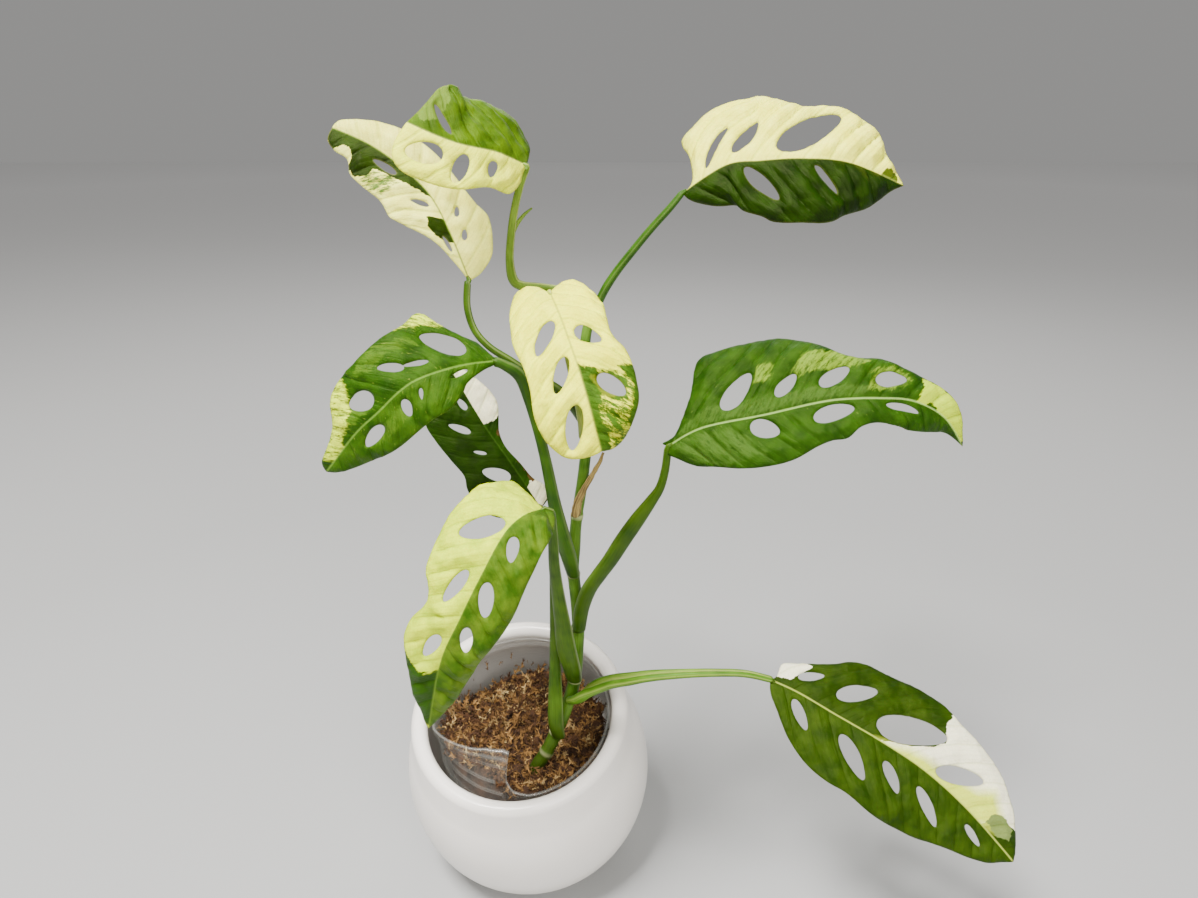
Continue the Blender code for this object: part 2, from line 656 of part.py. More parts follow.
def build_moss(stem_cutter):
    """The moss fills the cup up to a bumpy surface, with a plain hole for the stem."""
    inner_gap = CUP_WALL + MOSS_GAP
    base_height = CUP_BASE_HEIGHT + inner_gap
    base_radius = CUP_BASE_RADIUS - inner_gap
    profile = [(base_radius - 2.5, base_height), (base_radius, base_height + 2.3)]
    for height in (-25.0, 0.0, 14.0):
        profile.append((cup_radius(height) - inner_gap, height))
    walls = len(profile)
    top_rings = [1.0, 0.93, 0.85, 0.76, 0.67, 0.58, 0.49, 0.4, 0.3, 0.2, 0.1]
    points = revolved_points(profile, CUP_SIDES, cup_reach)
    points = [cup_place(p) for p in points]
    for share in top_rings:
        for side in range(CUP_SIDES):
            angle = math.tau * side / CUP_SIDES
            points.append(moss_surface_point(angle, share, inner_gap))
    rings = walls + len(top_rings)
    faces = ring_faces(rings, CUP_SIDES)
    centre = moss_surface_point(0.0, 0.0, inner_gap)
    close_with_poles(points, faces, rings, CUP_SIDES, cup_place((0, 0, base_height)), centre)
    moss = make_object("moss", points, faces, make_material("moss_fibre", "8B5A2B", 0.95), smooth=False)
    cut_by(moss, stem_cutter)
    return moss


def moss_surface_point(angle, share, inner_gap):
    """A point of the moss surface, found by following the cup's wall up to the surface's height."""
    height = 24.0
    inner_gap += MOSS_DENT_GAP * dent_depth(angle)
    for _ in range(12):
        reach = (cup_reach(cup_radius(height), height, angle) - inner_gap) * share
        place = cup_place((reach * math.cos(angle), reach * math.sin(angle), height))
        height += (moss_top(place.x, place.y) - place.z) * 0.8
    reach = (cup_reach(cup_radius(height), height, angle) - inner_gap) * share
    return cup_place((reach * math.cos(angle), reach * math.sin(angle), height))


def stem_line(extra):
    """The stem's stations with a low ring at each node; extra widens it, for a cutter."""
    line = rounded_line([Vector(p) for p in STEM], 2)
    stations = []
    for station in line:
        ring = max((math.exp(-((station.z - z) / 1.6) ** 2) for z in STEM_NODES), default=0.0)
        stations.append(Vector((station.x, station.y, station.z, station.w + 0.9 * ring + 2 * extra)))
    return stations


def build_stem():
    line = stem_line(0.0)
    points, faces = tube_solid(line, 12, round_section, Vector((0, 1, 0.1)))
    return make_object("main_stem", points, faces, make_material("stem_green", "5E8A2F", 0.45))


def build_stem_cutter(name, extra, from_height):
    """The stem made a little wider; it clears the seat of what clasps or holds the stem."""
    line = stem_line(extra)
    line[0] = line[0] - Vector((0, 0, from_height, 0))
    line[-1] = line[-1] + Vector((0, 0, 2 * extra, 0))
    points, faces = tube_solid(line, 12, round_section, Vector((0, 1, 0.1)))
    cutter = make_object(name, points, faces, make_material(name, "808080", 0.5))
    hide_cutter(cutter)
    return cutter


def cut_by(item, cutter, operation="DIFFERENCE"):
    cut = item.modifiers.new(cutter.name, "BOOLEAN")
    cut.operation = operation
    cut.solver = "EXACT"
    cut.object = cutter


def build_petiole(name, petiole, stem_cutter):
    line = rounded_line([Vector(p) for p in petiole["line"]], 2)
    points, faces = tube_solid(line, 10, channel_section, Vector(petiole["channel"]))
    item = make_object("petiole_" + name, points, faces, make_material("petiole_" + name, "6E9A36", 0.42))
    cut_by(item, stem_cutter)
    if "spike" in petiole:
        line = rounded_line([Vector(p) for p in petiole["spike"]], 2)
        points, faces = tube_solid(line, 6, round_section, Vector((0, 1, 0)))
        spike = make_object(name + "_sheath_spike", points, faces, item.data.materials[0])
        hide_cutter(spike)
        cut_by(item, spike, "UNION")
    return item


def midrib_line(points):
    """The midrib as a dense line, with the length along it at each station."""
    line = rounded_line([Vector(p) for p in points], 10)
    lengths = [0.0]
    for a, b in zip(line, line[1:]):
        lengths.append(lengths[-1] + (b - a).length)
    return line, lengths


def midrib_place(midrib, s):
    line, lengths = midrib
    if s <= 0:
        return line[0] + (line[1] - line[0]).normalized() * s
    if s >= lengths[-1]:
        return line[-1] + (line[-1] - line[-2]).normalized() * (s - lengths[-1])
    for i in range(1, len(line)):
        if s <= lengths[i]:
            share = (s - lengths[i - 1]) / (lengths[i] - lengths[i - 1])
            return line[i - 1].lerp(line[i], share)
    return line[-1].copy()


def blade_place(leaf, s, t):
    """Where the blade is at s along the midrib from its base and t across, left of the midrib positive."""
    midrib = leaf["line"]
    length = midrib[1][-1]
    share = min(max(s / length, 0.0), 1.0)
    centre = midrib_place(midrib, s)
    ahead = (midrib_place(midrib, s + 1.5) - midrib_place(midrib, s - 1.5)).normalized()
    look = Vector(leaf["face"][0]).lerp(Vector(leaf["face"][1]), share)
    up = (look - ahead * look.dot(ahead)).normalized()
    left = up.cross(ahead)
    folds = leaf["fold"][0] if t > 0 else leaf["fold"][1]
    fold = math.radians(folds[0] + (folds[1] - folds[0]) * share)
    reach = abs(t)
    edge = (reach / 22.0) ** 2
    wave_height, wave_length, wave_start = leaf["wave"]
    wave = wave_height * math.sin(math.tau * (s / wave_length + wave_start + (0.5 if t > 0 else 0.0))) * edge
    rise = reach * math.sin(fold) + leaf["bow"] * edge + wave
    return centre + left * t * math.cos(fold) + up * rise


def blade_normal(leaf, s, t):
    along = blade_place(leaf, s + 0.8, t) - blade_place(leaf, s - 0.8, t)
    if abs(t) < 0.6:
        across = blade_place(leaf, s, 2.0) - blade_place(leaf, s, -2.0)
    else:
        across = blade_place(leaf, s, t + 0.5) - blade_place(leaf, s, t - 0.5)
    return along.cross(across).normalized()


def blade_outline(leaf):
    """The closed outline in the blade's flat measure: base, left side, tip, right side."""
    tip = Vector((leaf["line"][1][-1], 0))
    base = Vector((0, 0))
    left = rounded_line([base] + [Vector(p) for p in leaf["left"]] + [tip], 2)
    right = rounded_line([base] + [Vector((s, -t)) for s, t in leaf["right"]] + [tip], 2)
    return left[:-1] + right[:0:-1]


def hole_outline(hole, count=9):
    """A rounded hole: centre along and across, length, width, and the lean of its length from the midrib."""
    s, t, long, wide, lean = hole
    side = 1 if t > 0 else -1
    slope = math.radians(lean)
    direction = Vector((math.cos(slope), side * math.sin(slope)))
    across = Vector((-direction.y, direction.x))
    points = []
    for step in range(count):
        angle = math.tau * step / count
        x = math.cos(angle) * long / 2
        y = math.sin(angle) * wide / 2 * (1 - 0.18 * math.cos(angle))
        points.append(Vector((s, t)) + direction * x + across * y)
    return points


def inside(point, outline):
    crossings = False
    for a, b in zip(outline, outline[1:] + outline[:1]):
        if (a.y > point.y) != (b.y > point.y):
            if point.x < a.x + (point.y - a.y) * (b.x - a.x) / (b.y - a.y):
                crossings = not crossings
    return crossings


def distance_to(point, outline):
    best = 1e9
    for a, b in zip(outline, outline[1:] + outline[:1]):
        span = b - a
        share = min(max((point - a).dot(span) / span.length_squared, 0.0), 1.0)
        best = min(best, (point - a - span * share).length)
    return best


def blade_flat_mesh(leaf):
    """Triangles of the blade in its flat measure, with its holes left open."""
    outline = blade_outline(leaf)
    holes = [hole_outline(h) for h in leaf["holes"]]
    length = leaf["line"][1][-1]
    inner = []
    station = BLADE_MESH_STEP * 0.6
    row = 0
    while station < length - 4:
        inner.append(Vector((station, 0)))
        for step in range(1, 6):
            t = (step - 0.4 * (row % 2)) * BLADE_MESH_STEP * 0.8
            inner.append(Vector((station, t)))
            inner.append(Vector((station, -t)))
        station += BLADE_MESH_STEP * 0.85
        row += 1
    loops = [outline] + holes
    kept = [p for p in inner if inside(p, outline) and not any(inside(p, h) for h in holes)]
    kept = [p for p in kept if min(distance_to(p, loop) for loop in loops) > 2.6]
    coords = []
    edges = []
    for loop in loops:
        start = len(coords)
        coords.extend(loop)
        edges.extend((start + i, start + (i + 1) % len(loop)) for i in range(len(loop)))
    coords.extend(kept)
    flat = delaunay_2d_cdt(coords, edges, [], 1, 1e-5)
    points, triangles = flat[0], flat[2]
    open_triangles = []
    for triangle in triangles:
        middle = sum((points[i] for i in triangle), Vector((0, 0))) / 3
        if inside(middle, outline) and not any(inside(middle, h) for h in holes):
            a, b, c = (points[i] for i in triangle)
            if (b - a).cross(c - a) < 0:
                triangle = triangle[::-1]
            open_triangles.append(tuple(triangle))
    used = sorted({i for triangle in open_triangles for i in triangle})
    renumber = {old: new for new, old in enumerate(used)}
    triangles = [tuple(renumber[i] for i in triangle) for triangle in open_triangles]
    return [points[i] for i in used], triangles


def build_blade(name, leaf):
    """A blade of even thickness with a raised midrib below; both faces share one set of triangles."""
    leaf["line"] = midrib_line(leaf["midrib"])
    length = leaf["line"][1][-1]
    flat, triangles = blade_flat_mesh(leaf)
    top = []
    bottom = []
    for point in flat:
        s, t = point
        place = blade_place(leaf, s, t)
        normal = blade_normal(leaf, s, t)
        rib = MIDRIB_RISE * math.exp(-(t / 2.0) ** 2) * min(max(1 - s / length, 0.0), 1.0)
        top.append(place + normal * BLADE_THICKNESS / 2)
        bottom.append(place - normal * (BLADE_THICKNESS / 2 + rib))
    count = len(flat)
    faces = list(triangles)
    faces.extend(tuple(i + count for i in reversed(triangle)) for triangle in triangles)
    sides = {}
    for a, b, c in triangles:
        for start, end in ((a, b), (b, c), (c, a)):
            sides[(start, end)] = True
    for start, end in sides:
        if (end, start) not in sides:
            faces.append((start, start + count, end + count))
            faces.append((start, end + count, end))
    material = make_material("leaf_" + name, leaf["colour"], 0.4)
    return make_object("leaf_" + name, top + bottom, faces, material)


def build_blade_cutter(name, blade):
    """The blade made a little thicker all round; it clears the blade's seat on the petiole."""
    shape = bmesh.new()
    shape.from_mesh(blade.data)
    shape.normal_update()
    moved = [v.co + v.normal * SEAT_GAP * MM for v in shape.verts]
    faces = [tuple(v.index for v in face.verts) for face in shape.faces]
    shape.free()
    points = [p / MM for p in moved]
    material = make_material(name + "_seat_cutter", "808080", 0.5)
    cutter = make_object(name + "_seat_cutter", points, faces, material)
    hide_cutter(cutter)
    return cutter


def hide_cutter(cutter):
    cutter.hide_render = True
    cutter.display_type = "WIRE"


def build_dried_sheath(stem_cutter):
    """The papery brown remnant that clasps the stem at a node and curls away from it."""
    line = rounded_line([Vector(p) for p in DRIED_SHEATH], 2)
    points, faces = tube_solid(line, 8, channel_section, Vector((-0.8, 0.4, 0.3)))
    item = make_object("dried_sheath", points, faces, make_material("dry_sheath", "8A5A38", 0.8))
    cut_by(item, stem_cutter)
    return item


def main():
    for item in list(bpy.data.objects):
        bpy.data.objects.remove(item, do_unlink=True)
    seat_cutter = build_stem_cutter("stem_seat_cutter", SEAT_GAP, 0.3)
    build_pot()
    build_cup()
    build_moss(seat_cutter)
    build_stem()
    build_dried_sheath(seat_cutter)
    for name, leaf in LEAVES.items():
        petiole = build_petiole(name, PETIOLES[name], seat_cutter)
        blade = build_blade(name, leaf)
        cut_by(petiole, build_blade_cutter(name, blade))


main()
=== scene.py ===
import json
import math
from functools import partial

import bmesh
import bpy
import numpy as np
from mathutils import Matrix, Vector, noise
from mathutils.geometry import delaunay_2d_cdt

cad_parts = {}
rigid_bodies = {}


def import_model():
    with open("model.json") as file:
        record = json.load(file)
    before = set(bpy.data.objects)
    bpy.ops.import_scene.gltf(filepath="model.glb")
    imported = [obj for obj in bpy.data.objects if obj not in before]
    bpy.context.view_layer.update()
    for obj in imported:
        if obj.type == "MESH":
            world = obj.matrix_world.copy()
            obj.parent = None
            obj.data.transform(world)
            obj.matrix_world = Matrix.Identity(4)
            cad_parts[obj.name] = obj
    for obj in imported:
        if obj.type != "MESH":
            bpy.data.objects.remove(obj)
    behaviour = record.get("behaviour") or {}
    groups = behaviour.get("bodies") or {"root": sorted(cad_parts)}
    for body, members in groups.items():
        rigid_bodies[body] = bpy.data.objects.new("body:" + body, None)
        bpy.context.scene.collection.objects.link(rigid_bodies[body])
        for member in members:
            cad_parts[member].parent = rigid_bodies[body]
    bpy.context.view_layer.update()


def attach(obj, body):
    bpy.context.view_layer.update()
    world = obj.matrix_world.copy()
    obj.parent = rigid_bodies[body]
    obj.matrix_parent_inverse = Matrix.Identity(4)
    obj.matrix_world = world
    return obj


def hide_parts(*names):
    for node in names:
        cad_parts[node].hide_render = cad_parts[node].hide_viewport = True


# Everything below is in millimetres; mm turns it into Blender's metres. The plant's front looks toward -Y.
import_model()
mm = 0.001


def hexColour(code):  # sRGB hex to the linear values that a shader takes
    parts = [int(code[i:i + 2], 16) / 255 for i in (0, 2, 4)]
    return [c / 12.92 if c <= 0.04045 else ((c + 0.055) / 1.055) ** 2.4 for c in parts] + [1.0]


def pick(sockets, key):  # by name, or by its place among the sockets that the node's settings leave in use
    return sockets[key] if isinstance(key, str) else [socket for socket in sockets if socket.enabled][key]


def addNode(tree, kind, inputs=(), out=0, **settings):  # a kind without "Node" in it is a shader node
    made = tree.nodes.new(kind if "Node" in kind else "ShaderNode" + kind)
    for key, value in settings.items():
        setattr(made, key, value)
    for key, value in inputs.items() if isinstance(inputs, dict) else enumerate(inputs):
        socket = pick(made.inputs, key)
        if isinstance(value, bpy.types.NodeSocket):
            tree.links.new(value, socket)
        else:
            socket.default_value = hexColour(value) if socket.type == "RGBA" else value
    return pick(made.outputs, out) if made.outputs else None


def startMaterial(name, **values):  # a Principled material; values go on the shader's own sockets
    material = bpy.data.materials.new(name)
    material.use_nodes = True
    for key, value in values.items():
        material.node_tree.nodes["Principled BSDF"].inputs[key.replace("_", " ")].default_value = value
    return material, partial(addNode, material.node_tree)


def finishMaterial(material, **sockets):
    tree = material.node_tree
    for key, socket in sockets.items():
        tree.links.new(socket, tree.nodes["Principled BSDF"].inputs[key.replace("_", " ")])
    return material


def addObject(name, data):
    made = bpy.data.objects.new(name, data)
    bpy.context.scene.collection.objects.link(made)
    return made


def plainMesh(name, points, faces):
    mesh = bpy.data.meshes.new(name)
    mesh.from_pydata([Vector(p) * mm for p in points], [], faces)
    return mesh


def makePiece(name, points, faces, material, uv=None, fields=None):  # fields are one number for each point
    mesh = plainMesh(name, points, faces)
    mesh.materials.append(material)
    mesh.shade_smooth()
    if uv is not None:
        layer = mesh.uv_layers.new(name="surface")
        corners = np.empty(len(mesh.loops), int)
        mesh.loops.foreach_get("vertex_index", corners)
        layer.data.foreach_set("uv", np.asarray(uv, np.float32)[corners].ravel())
    for key, values in (fields or {}).items():
        mesh.attributes.new(key, "FLOAT", "POINT").data.foreach_set("value", np.asarray(values, np.float32))
    shape = bmesh.new()
    shape.from_mesh(mesh)
    bmesh.ops.recalc_face_normals(shape, faces=shape.faces[:])
    shape.to_mesh(mesh)
    shape.free()
    return addObject(name, mesh)


def place(piece, node):  # rides on the one body and stands for its CAD node
    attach(piece, "root")
    if node:
        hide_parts(node)
    print("piece", piece.name, len(piece.data.polygons))


def roundedLine(points, steps):  # a line through all the points
    p = np.asarray(points, float)
    line = []
    for i in range(len(p) - 1):
        p0, p1, p2, p3 = p[max(i - 1, 0)], p[i], p[i + 1], p[min(i + 2, len(p) - 1)]
        for step in range(steps):
            t = step / steps
            bend = (2 * p0 - 5 * p1 + 4 * p2 - p3) * t ** 2 + (3 * p1 - p0 - 3 * p2 + p3) * t ** 3
            line.append((2 * p1 + (p2 - p0) * t + bend) / 2)
    return np.array(line + [p[-1]])


def lengthsAlong(line):
    return np.r_[0, np.cumsum(np.linalg.norm(np.diff(line, axis=0), axis=1))]


def evenly(line, spacing):  # the same line with points an even distance apart
    lengths = lengthsAlong(line)
    places = np.linspace(0, lengths[-1], max(int(round(lengths[-1] / spacing)), 2) + 1)
    return np.stack([np.interp(places, lengths, line[:, k]) for k in range(line.shape[1])], 1)


def unit(vectors):
    return vectors / np.maximum(np.linalg.norm(vectors, axis=-1, keepdims=True), 1e-9)


def closedRings(rings, sides):  # quads between the rings, then a fan to one point at each end
    faces = [(r + i, r + (i + 1) % sides, r + sides + (i + 1) % sides, r + sides + i)
             for r in range(0, (rings - 1) * sides, sides) for i in range(sides)]
    last, start = (rings - 1) * sides, rings * sides
    for i in range(sides):
        faces += [(start, (i + 1) % sides, i), (start + 1, last + i, last + (i + 1) % sides)]
    return faces


def tube(line, sides, section, look):  # closed tube along x, y, z, width; UV is length and turn round it
    ahead = unit(np.gradient(line[:, :3], axis=0))
    up = unit(np.asarray(look, float) - ahead * (ahead @ np.asarray(look, float))[:, None])
    across = np.cross(ahead, up)
    along = lengthsAlong(line[:, :3])
    points, uv = [], []
    for i in range(len(line)):
        for side in range(sides):
            x, y = section(math.tau * side / sides, line[i, 3])
            points.append(line[i, :3] + across[i] * x + up[i] * y)
            uv.append((along[i], side / sides))
    points += [line[0, :3], line[-1, :3]]
    uv += [(0, 0.5), (along[-1], 0.5)]
    return points, closedRings(len(line), sides), uv


def revolve(profile, sides, reachAt=None):  # (radius, height) turned round Z
    points = []
    for radius, height in profile:
        for side in range(sides):
            angle = math.tau * side / sides
            reach = radius if reachAt is None else reachAt(radius, height, angle)
            points.append((reach * math.cos(angle), reach * math.sin(angle), height))
    points += [(0, 0, profile[0][1]), (0, 0, profile[-1][1])]
    return points, closedRings(len(profile), sides)


# Pot: white glazed ceramic ball with a slanted mouth
pot = {
    "radius": 64.7, "lowerReach": 70.0, "innerReach": 61.0, "upperReach": 81.0, "drop": 3.0,
    "centreHeight": 60.5, "slant": 20.5, "turn": -9.5, "lipRadius": 51.5, "lipHeight": 46.9, "lipRound": 4.2,
    "wall": 6.0, "floor": 9.0, "sides": 144, "bellyRings": 34,
    "tones": ("EFE9E1", "F8F3EC"), "pinholeTone": "B9B4A8",
}


def leaned(point):  # from the mouth's own axis to the standing pot
    turned = Matrix.Rotation(math.radians(pot["slant"]), 3, "X") @ Vector(point)
    return Matrix.Rotation(math.radians(pot["turn"]), 3, "Z") @ turned + Vector((0, 0, pot["centreHeight"]))


def ballPlace(degrees, inset):
    angle = math.radians(degrees)
    reach = pot["upperReach"] - inset
    if degrees <= 0:
        reach = pot["innerReach"] if inset else pot["lowerReach"]
    return (pot["radius"] - inset) * math.cos(angle), reach * math.sin(angle)


def glazeMaterial():
    # Glazed white earthenware: satin under a thin clear coat, faint patches and pinholes in the glaze
    material, add = startMaterial("white glazed earthenware", Coat_Weight=0.25)
    coords = add("TexCoord", out="Object")
    patches = add("TexNoise", (coords, 26.0, 2.0, 0.55))  # about 40 mm
    tone = add("Mix", (patches, *pot["tones"]), data_type="RGBA")
    pinholes = add("TexVoronoi", {0: coords, "Scale": 150.0})  # about 7 mm apart
    shown = add("MapRange", (pinholes, 0.02, 0.05, 0.18, 0.0))
    speckled = add("Mix", (shown, tone, pot["pinholeTone"]), data_type="RGBA")
    gloss = add("MapRange", (add("TexNoise", (coords, 90.0, 3.0, 0.55)), 0.0, 1.0, 0.28, 0.42))
    waves = add("TexNoise", (coords, 60.0, 2.0, 0.55))  # slow waviness of a thick glaze, 15 mm long
    bump = add("Bump", {"Height": waves, "Strength": 0.05, "Distance": 0.002})
    return finishMaterial(material, Base_Color=speckled, Roughness=gloss, Normal=bump)


def buildPot():
    profile = [ballPlace(d, 0) for d in np.linspace(-84, 28, pot["bellyRings"])]
    for angle in np.radians(np.linspace(12, 188, 13)):  # the rounded lip
        profile.append((pot["lipRadius"] + pot["lipRound"] * math.cos(angle),
                        pot["lipHeight"] + pot["lipRound"] * math.sin(angle)))
    outer = len(profile)
    profile += [ballPlace(d, pot["wall"]) for d in np.linspace(29, -82, 30)]
    points, faces = revolve(profile, pot["sides"])
    points = [leaned(p) for p in points]
    for i, point in enumerate(points):
        ring = i // pot["sides"]
        if not pot["bellyRings"] <= ring < outer:
            point.z -= pot["drop"]
        if ring >= outer and i != len(points) - 2:
            point.z = max(point.z, pot["floor"])
    piece = makePiece("ball_pot", points, faces, glazeMaterial())
    shape = bmesh.new()
    shape.from_mesh(piece.data)
    cut = bmesh.ops.bisect_plane(
        shape, geom=shape.verts[:] + shape.edges[:] + shape.faces[:],
        plane_co=(0, 0, 0), plane_no=(0, 0, 1), clear_inner=True)
    rim = [e for e in cut["geom_cut"] if isinstance(e, bmesh.types.BMEdge)]
    foot = bmesh.ops.contextual_create(shape, geom=rim)["faces"]
    for part in rim + list(foot):
        part.smooth = False
    bmesh.ops.recalc_face_normals(shape, faces=shape.faces[:])
    shape.to_mesh(piece.data)
    shape.free()
    place(piece, "pot")


# Nursery cup: thin clear plastic, with its rim squashed inward at the front left; dent is (degrees, depth)
cup = {
    "rimRadius": 45.8, "baseRadius": 29.0, "shoulderRadius": 43.6, "shoulderHeight": 0.0, "rimHeight": 46.0,
    "rimStep": 1.0, "baseHeight": -45.4, "shift": (0.3, 1.0), "wall": 0.9, "baseRound": 2.5, "sides": 240,
    "ribs": (20.0, 23.0, 26.0, 29.0, 32.0, 35.0, 37.6), "tone": "A3A49E",
    "dent": [(199, 0.0), (207, 4.0), (220, 11.0), (239, 19.5), (258, 23.0), (267, 22.5), (271, 8.0),
             (277, 2.6), (287, 0.0)],
    "dentStart": 0.84,  # share of the height
}
# How far up and out a rib and the rim run, and how much light each line of them catches
ribLines = [(0.0, 0.0, 0.0), (0.2, 0.2, 0.3), (0.35, 0.25, 1.0), (0.5, 0.2, 0.3), (0.7, 0.0, 0.0)]
rimLines = [(-4.0, 0.0, 0.9), (-3.6, 0.0, 0.0), (-2.5, 0.0, 0.0), (-2.0, -0.4, 0.7), (-1.5, 0.0, 0.0),
            (-0.6, 0.0, 0.0), (0.0, 0.0, 1.0)]


def cupPlace(point):
    x, y, z = point
    return leaned((x + cup["shift"][0], y + cup["shift"][1], z))


def dentDepth(angle):
    dent = np.array(cup["dent"])
    return np.interp(math.degrees(angle) % 360, dent[:, 0], dent[:, 1])


def cupReach(radius, height, angle):
    share = (height - cup["baseHeight"]) / (cup["rimHeight"] - cup["baseHeight"])
    return radius - dentDepth(angle) * max(0.0, (share - cup["dentStart"]) / (1 - cup["dentStart"])) ** 1.2


def cupRadius(height):
    return float(np.interp(height, (cup["baseHeight"], cup["shoulderHeight"], cup["rimHeight"]),
                           (cup["baseRadius"], cup["shoulderRadius"], cup["rimRadius"] - cup["rimStep"])))


def clearPlasticMaterial():
    # Clear polypropylene, 0.9 mm: nearly colourless, denser where the wall turns at a rib, and brighter
    # there as a painted highlight: more opacity along each line by how much light it is set to catch
    material, add = startMaterial(
        "clear polypropylene", IOR=1.48, Specular_IOR_Level=0.9, Base_Color=hexColour(cup["tone"]))
    scuffs = add("TexNoise", (add("TexCoord", out="Object"), 320.0, 4.0, 0.55))  # 3 mm
    turn = add("Attribute", out="Fac", attribute_name="turn")
    # painted highlight: the opacity rises along the rib and rim lines set to catch light
    solid = add("MapRange", (turn, 0.0, 1.0, 0.02, 0.24))
    film = add("Math", (scuffs, 0.04, solid), operation="MULTIPLY_ADD")
    return finishMaterial(material, Alpha=film, Roughness=add("MapRange", (scuffs, 0.0, 1.0, 0.06, 0.24)))


def buildCup():
    base, low, top, wall = cup["baseRadius"], cup["baseHeight"], cup["rimHeight"], cup["wall"]
    outer = [(base - cup["baseRound"], low, 1.0), (base, low + 2.0, 0.8)]
    outer += [(cupRadius(height), height, 0.0) for height in np.linspace(-40, 12, 10)]
    for rib in cup["ribs"]:
        outer += [(cupRadius(rib + up) + out, rib + up, lit) for up, out, lit in ribLines]
    outer += [(cupRadius(top - 6), top - 6, 0.0), (cupRadius(top - 5), top - 4.6, 0.0)]
    outer += [(cup["rimRadius"] + out, top + up, lit) for up, out, lit in rimLines]
    inner = [(radius - wall, height, lit) for radius, height, lit in outer[-2::-1]]
    inner[-2:] = [(base - wall, low + 2.9, 0.8), (base - 3.4, low + wall, 1.0)]
    lines = outer + [(cup["rimRadius"] - 1.4, top, 1.0)] + inner
    points, faces = revolve([line[:2] for line in lines], cup["sides"], cupReach)
    # the light each line catches, carried into the cup's opacity as a painted highlight
    turn = np.r_[np.repeat([line[2] for line in lines], cup["sides"]), 0.3, 0.3]
    place(makePiece("clear_nursery_cup", [cupPlace(p) for p in points], faces, clearPlasticMaterial(),
                    fields={"turn": turn}), "nursery_cup")


# Moss: long-fibred, golden brown and matted, rising a little toward the back. hollow is x, y, depth and width
moss = {
    "height": 87.0, "slope": 0.14, "bump": 2.6, "hollow": (-24, 22, 9.0, 17.0), "gap": 1.5, "dentGap": 0.3,
    "sides": 180, "strands": 1900, "bits": 22, "seed": 11, "shapeSeed": 30, "width": 0.74, "curl": 0.62,
    "lengths": [6.2, 7.5, 8.8, 10.1, 11.4, 12.7], "tones": ("180C04", "4C2E12", "8C6632", "D8C28A"),
    "middleStops": (0.38, 0.68),
}


def mossTop(x, y):
    spot = Vector((x, y, 3.0))
    lumps = noise.noise(spot / 11.0) * moss["bump"]
    strands = (1 - 2 * abs(noise.noise(spot / 3.6 + Vector((7, 1, 4))))) * 1.3
    across, back, depth, width = moss["hollow"]
    hollow = depth * math.exp(-((x - across) ** 2 + (y - back) ** 2) / width ** 2)
    return moss["height"] + moss["slope"] * (y + 10) + lumps + strands - hollow


def mossPlace(angle, share):  # on the bed's top, found in a few steps because the cup leans
    height = 24.0
    inset = cup["wall"] + moss["gap"] + moss["dentGap"] * dentDepth(angle)
    for _ in range(12):
        reach = (cupReach(cupRadius(height), height, angle) - inset) * share
        spot = cupPlace((reach * math.cos(angle), reach * math.sin(angle), height))
        height += (mossTop(spot.x, spot.y) - spot.z) * 0.8
    return spot


def mossMaterial():
    # Dried long-fibred moss: each strand has its own tone between dark peat and pale straw
    material, add = startMaterial("dried long-fibred moss", Roughness=0.92)
    coords = add("TexCoord", out="Object")
    patches = add("TexNoise", (coords, 120.0, 3.0, 0.55))  # 8 mm patches of wetter and drier moss
    fibre = add("TexNoise", (coords, 900.0, 4.0, 0.7))  # 1 mm
    tone = add("Attribute", out="Fac", attribute_name="strandTone")
    mixed = add("Math", (patches, 0.7, tone), operation="MULTIPLY_ADD")
    spread = add("Math", (fibre, 0.35, mixed), operation="MULTIPLY_ADD")
    ramp = add("ValToRGB", (add("MapRange", (spread, 0.35, 1.5)),))
    stops = ramp.node.color_ramp.elements
    for code, spot in zip(moss["tones"][1:3], moss["middleStops"]):
        stops.new(spot).color = hexColour(code)
    stops[0].color, stops[-1].color = hexColour(moss["tones"][0]), hexColour(moss["tones"][-1])
    bump = add("Bump", {"Height": fibre, "Strength": 0.7, "Distance": 0.001})
    return finishMaterial(material, Base_Color=ramp, Normal=bump)


def roundSection(angle, width):
    return math.cos(angle) * width / 2, math.sin(angle) * width / 2


def strandShape(name, seed, length):  # one curled fibre with short leaflets along it
    rng = np.random.default_rng(seed)
    width = moss["width"]
    line = [np.array([0.0, 0.0, -length * 0.25])]
    heading = np.array([0.0, 0.0, 1.0])
    for _ in range(7):
        heading = unit(heading + rng.normal(0, moss["curl"], 3))
        line.append(line[-1] + heading * length / 7)
    line = np.array(line)
    widths = width * np.array([1.0, 1.0, 0.95, 0.9, 0.8, 0.7, 0.5, 0.15])
    points, faces, _ = tube(np.c_[line, widths], 3, roundSection, (0.9, 0.3, 0.2))
    for i in [*range(1, 8), *range(1, 8), *range(2, 8)]:
        side = unit(rng.normal(0, 1, 3))
        start = len(points)
        tip = line[i] + side * width * rng.uniform(1.8, 3.4) + (line[i] - line[i - 1]) * rng.uniform(0.2, 0.9)
        points += [line[i - 1] + side * width * 0.2, line[i] + side * width * 0.2, tip]
        faces.append((start, start + 1, start + 2))
    return bpy.data.objects.new(name, plainMesh(name, points, faces))


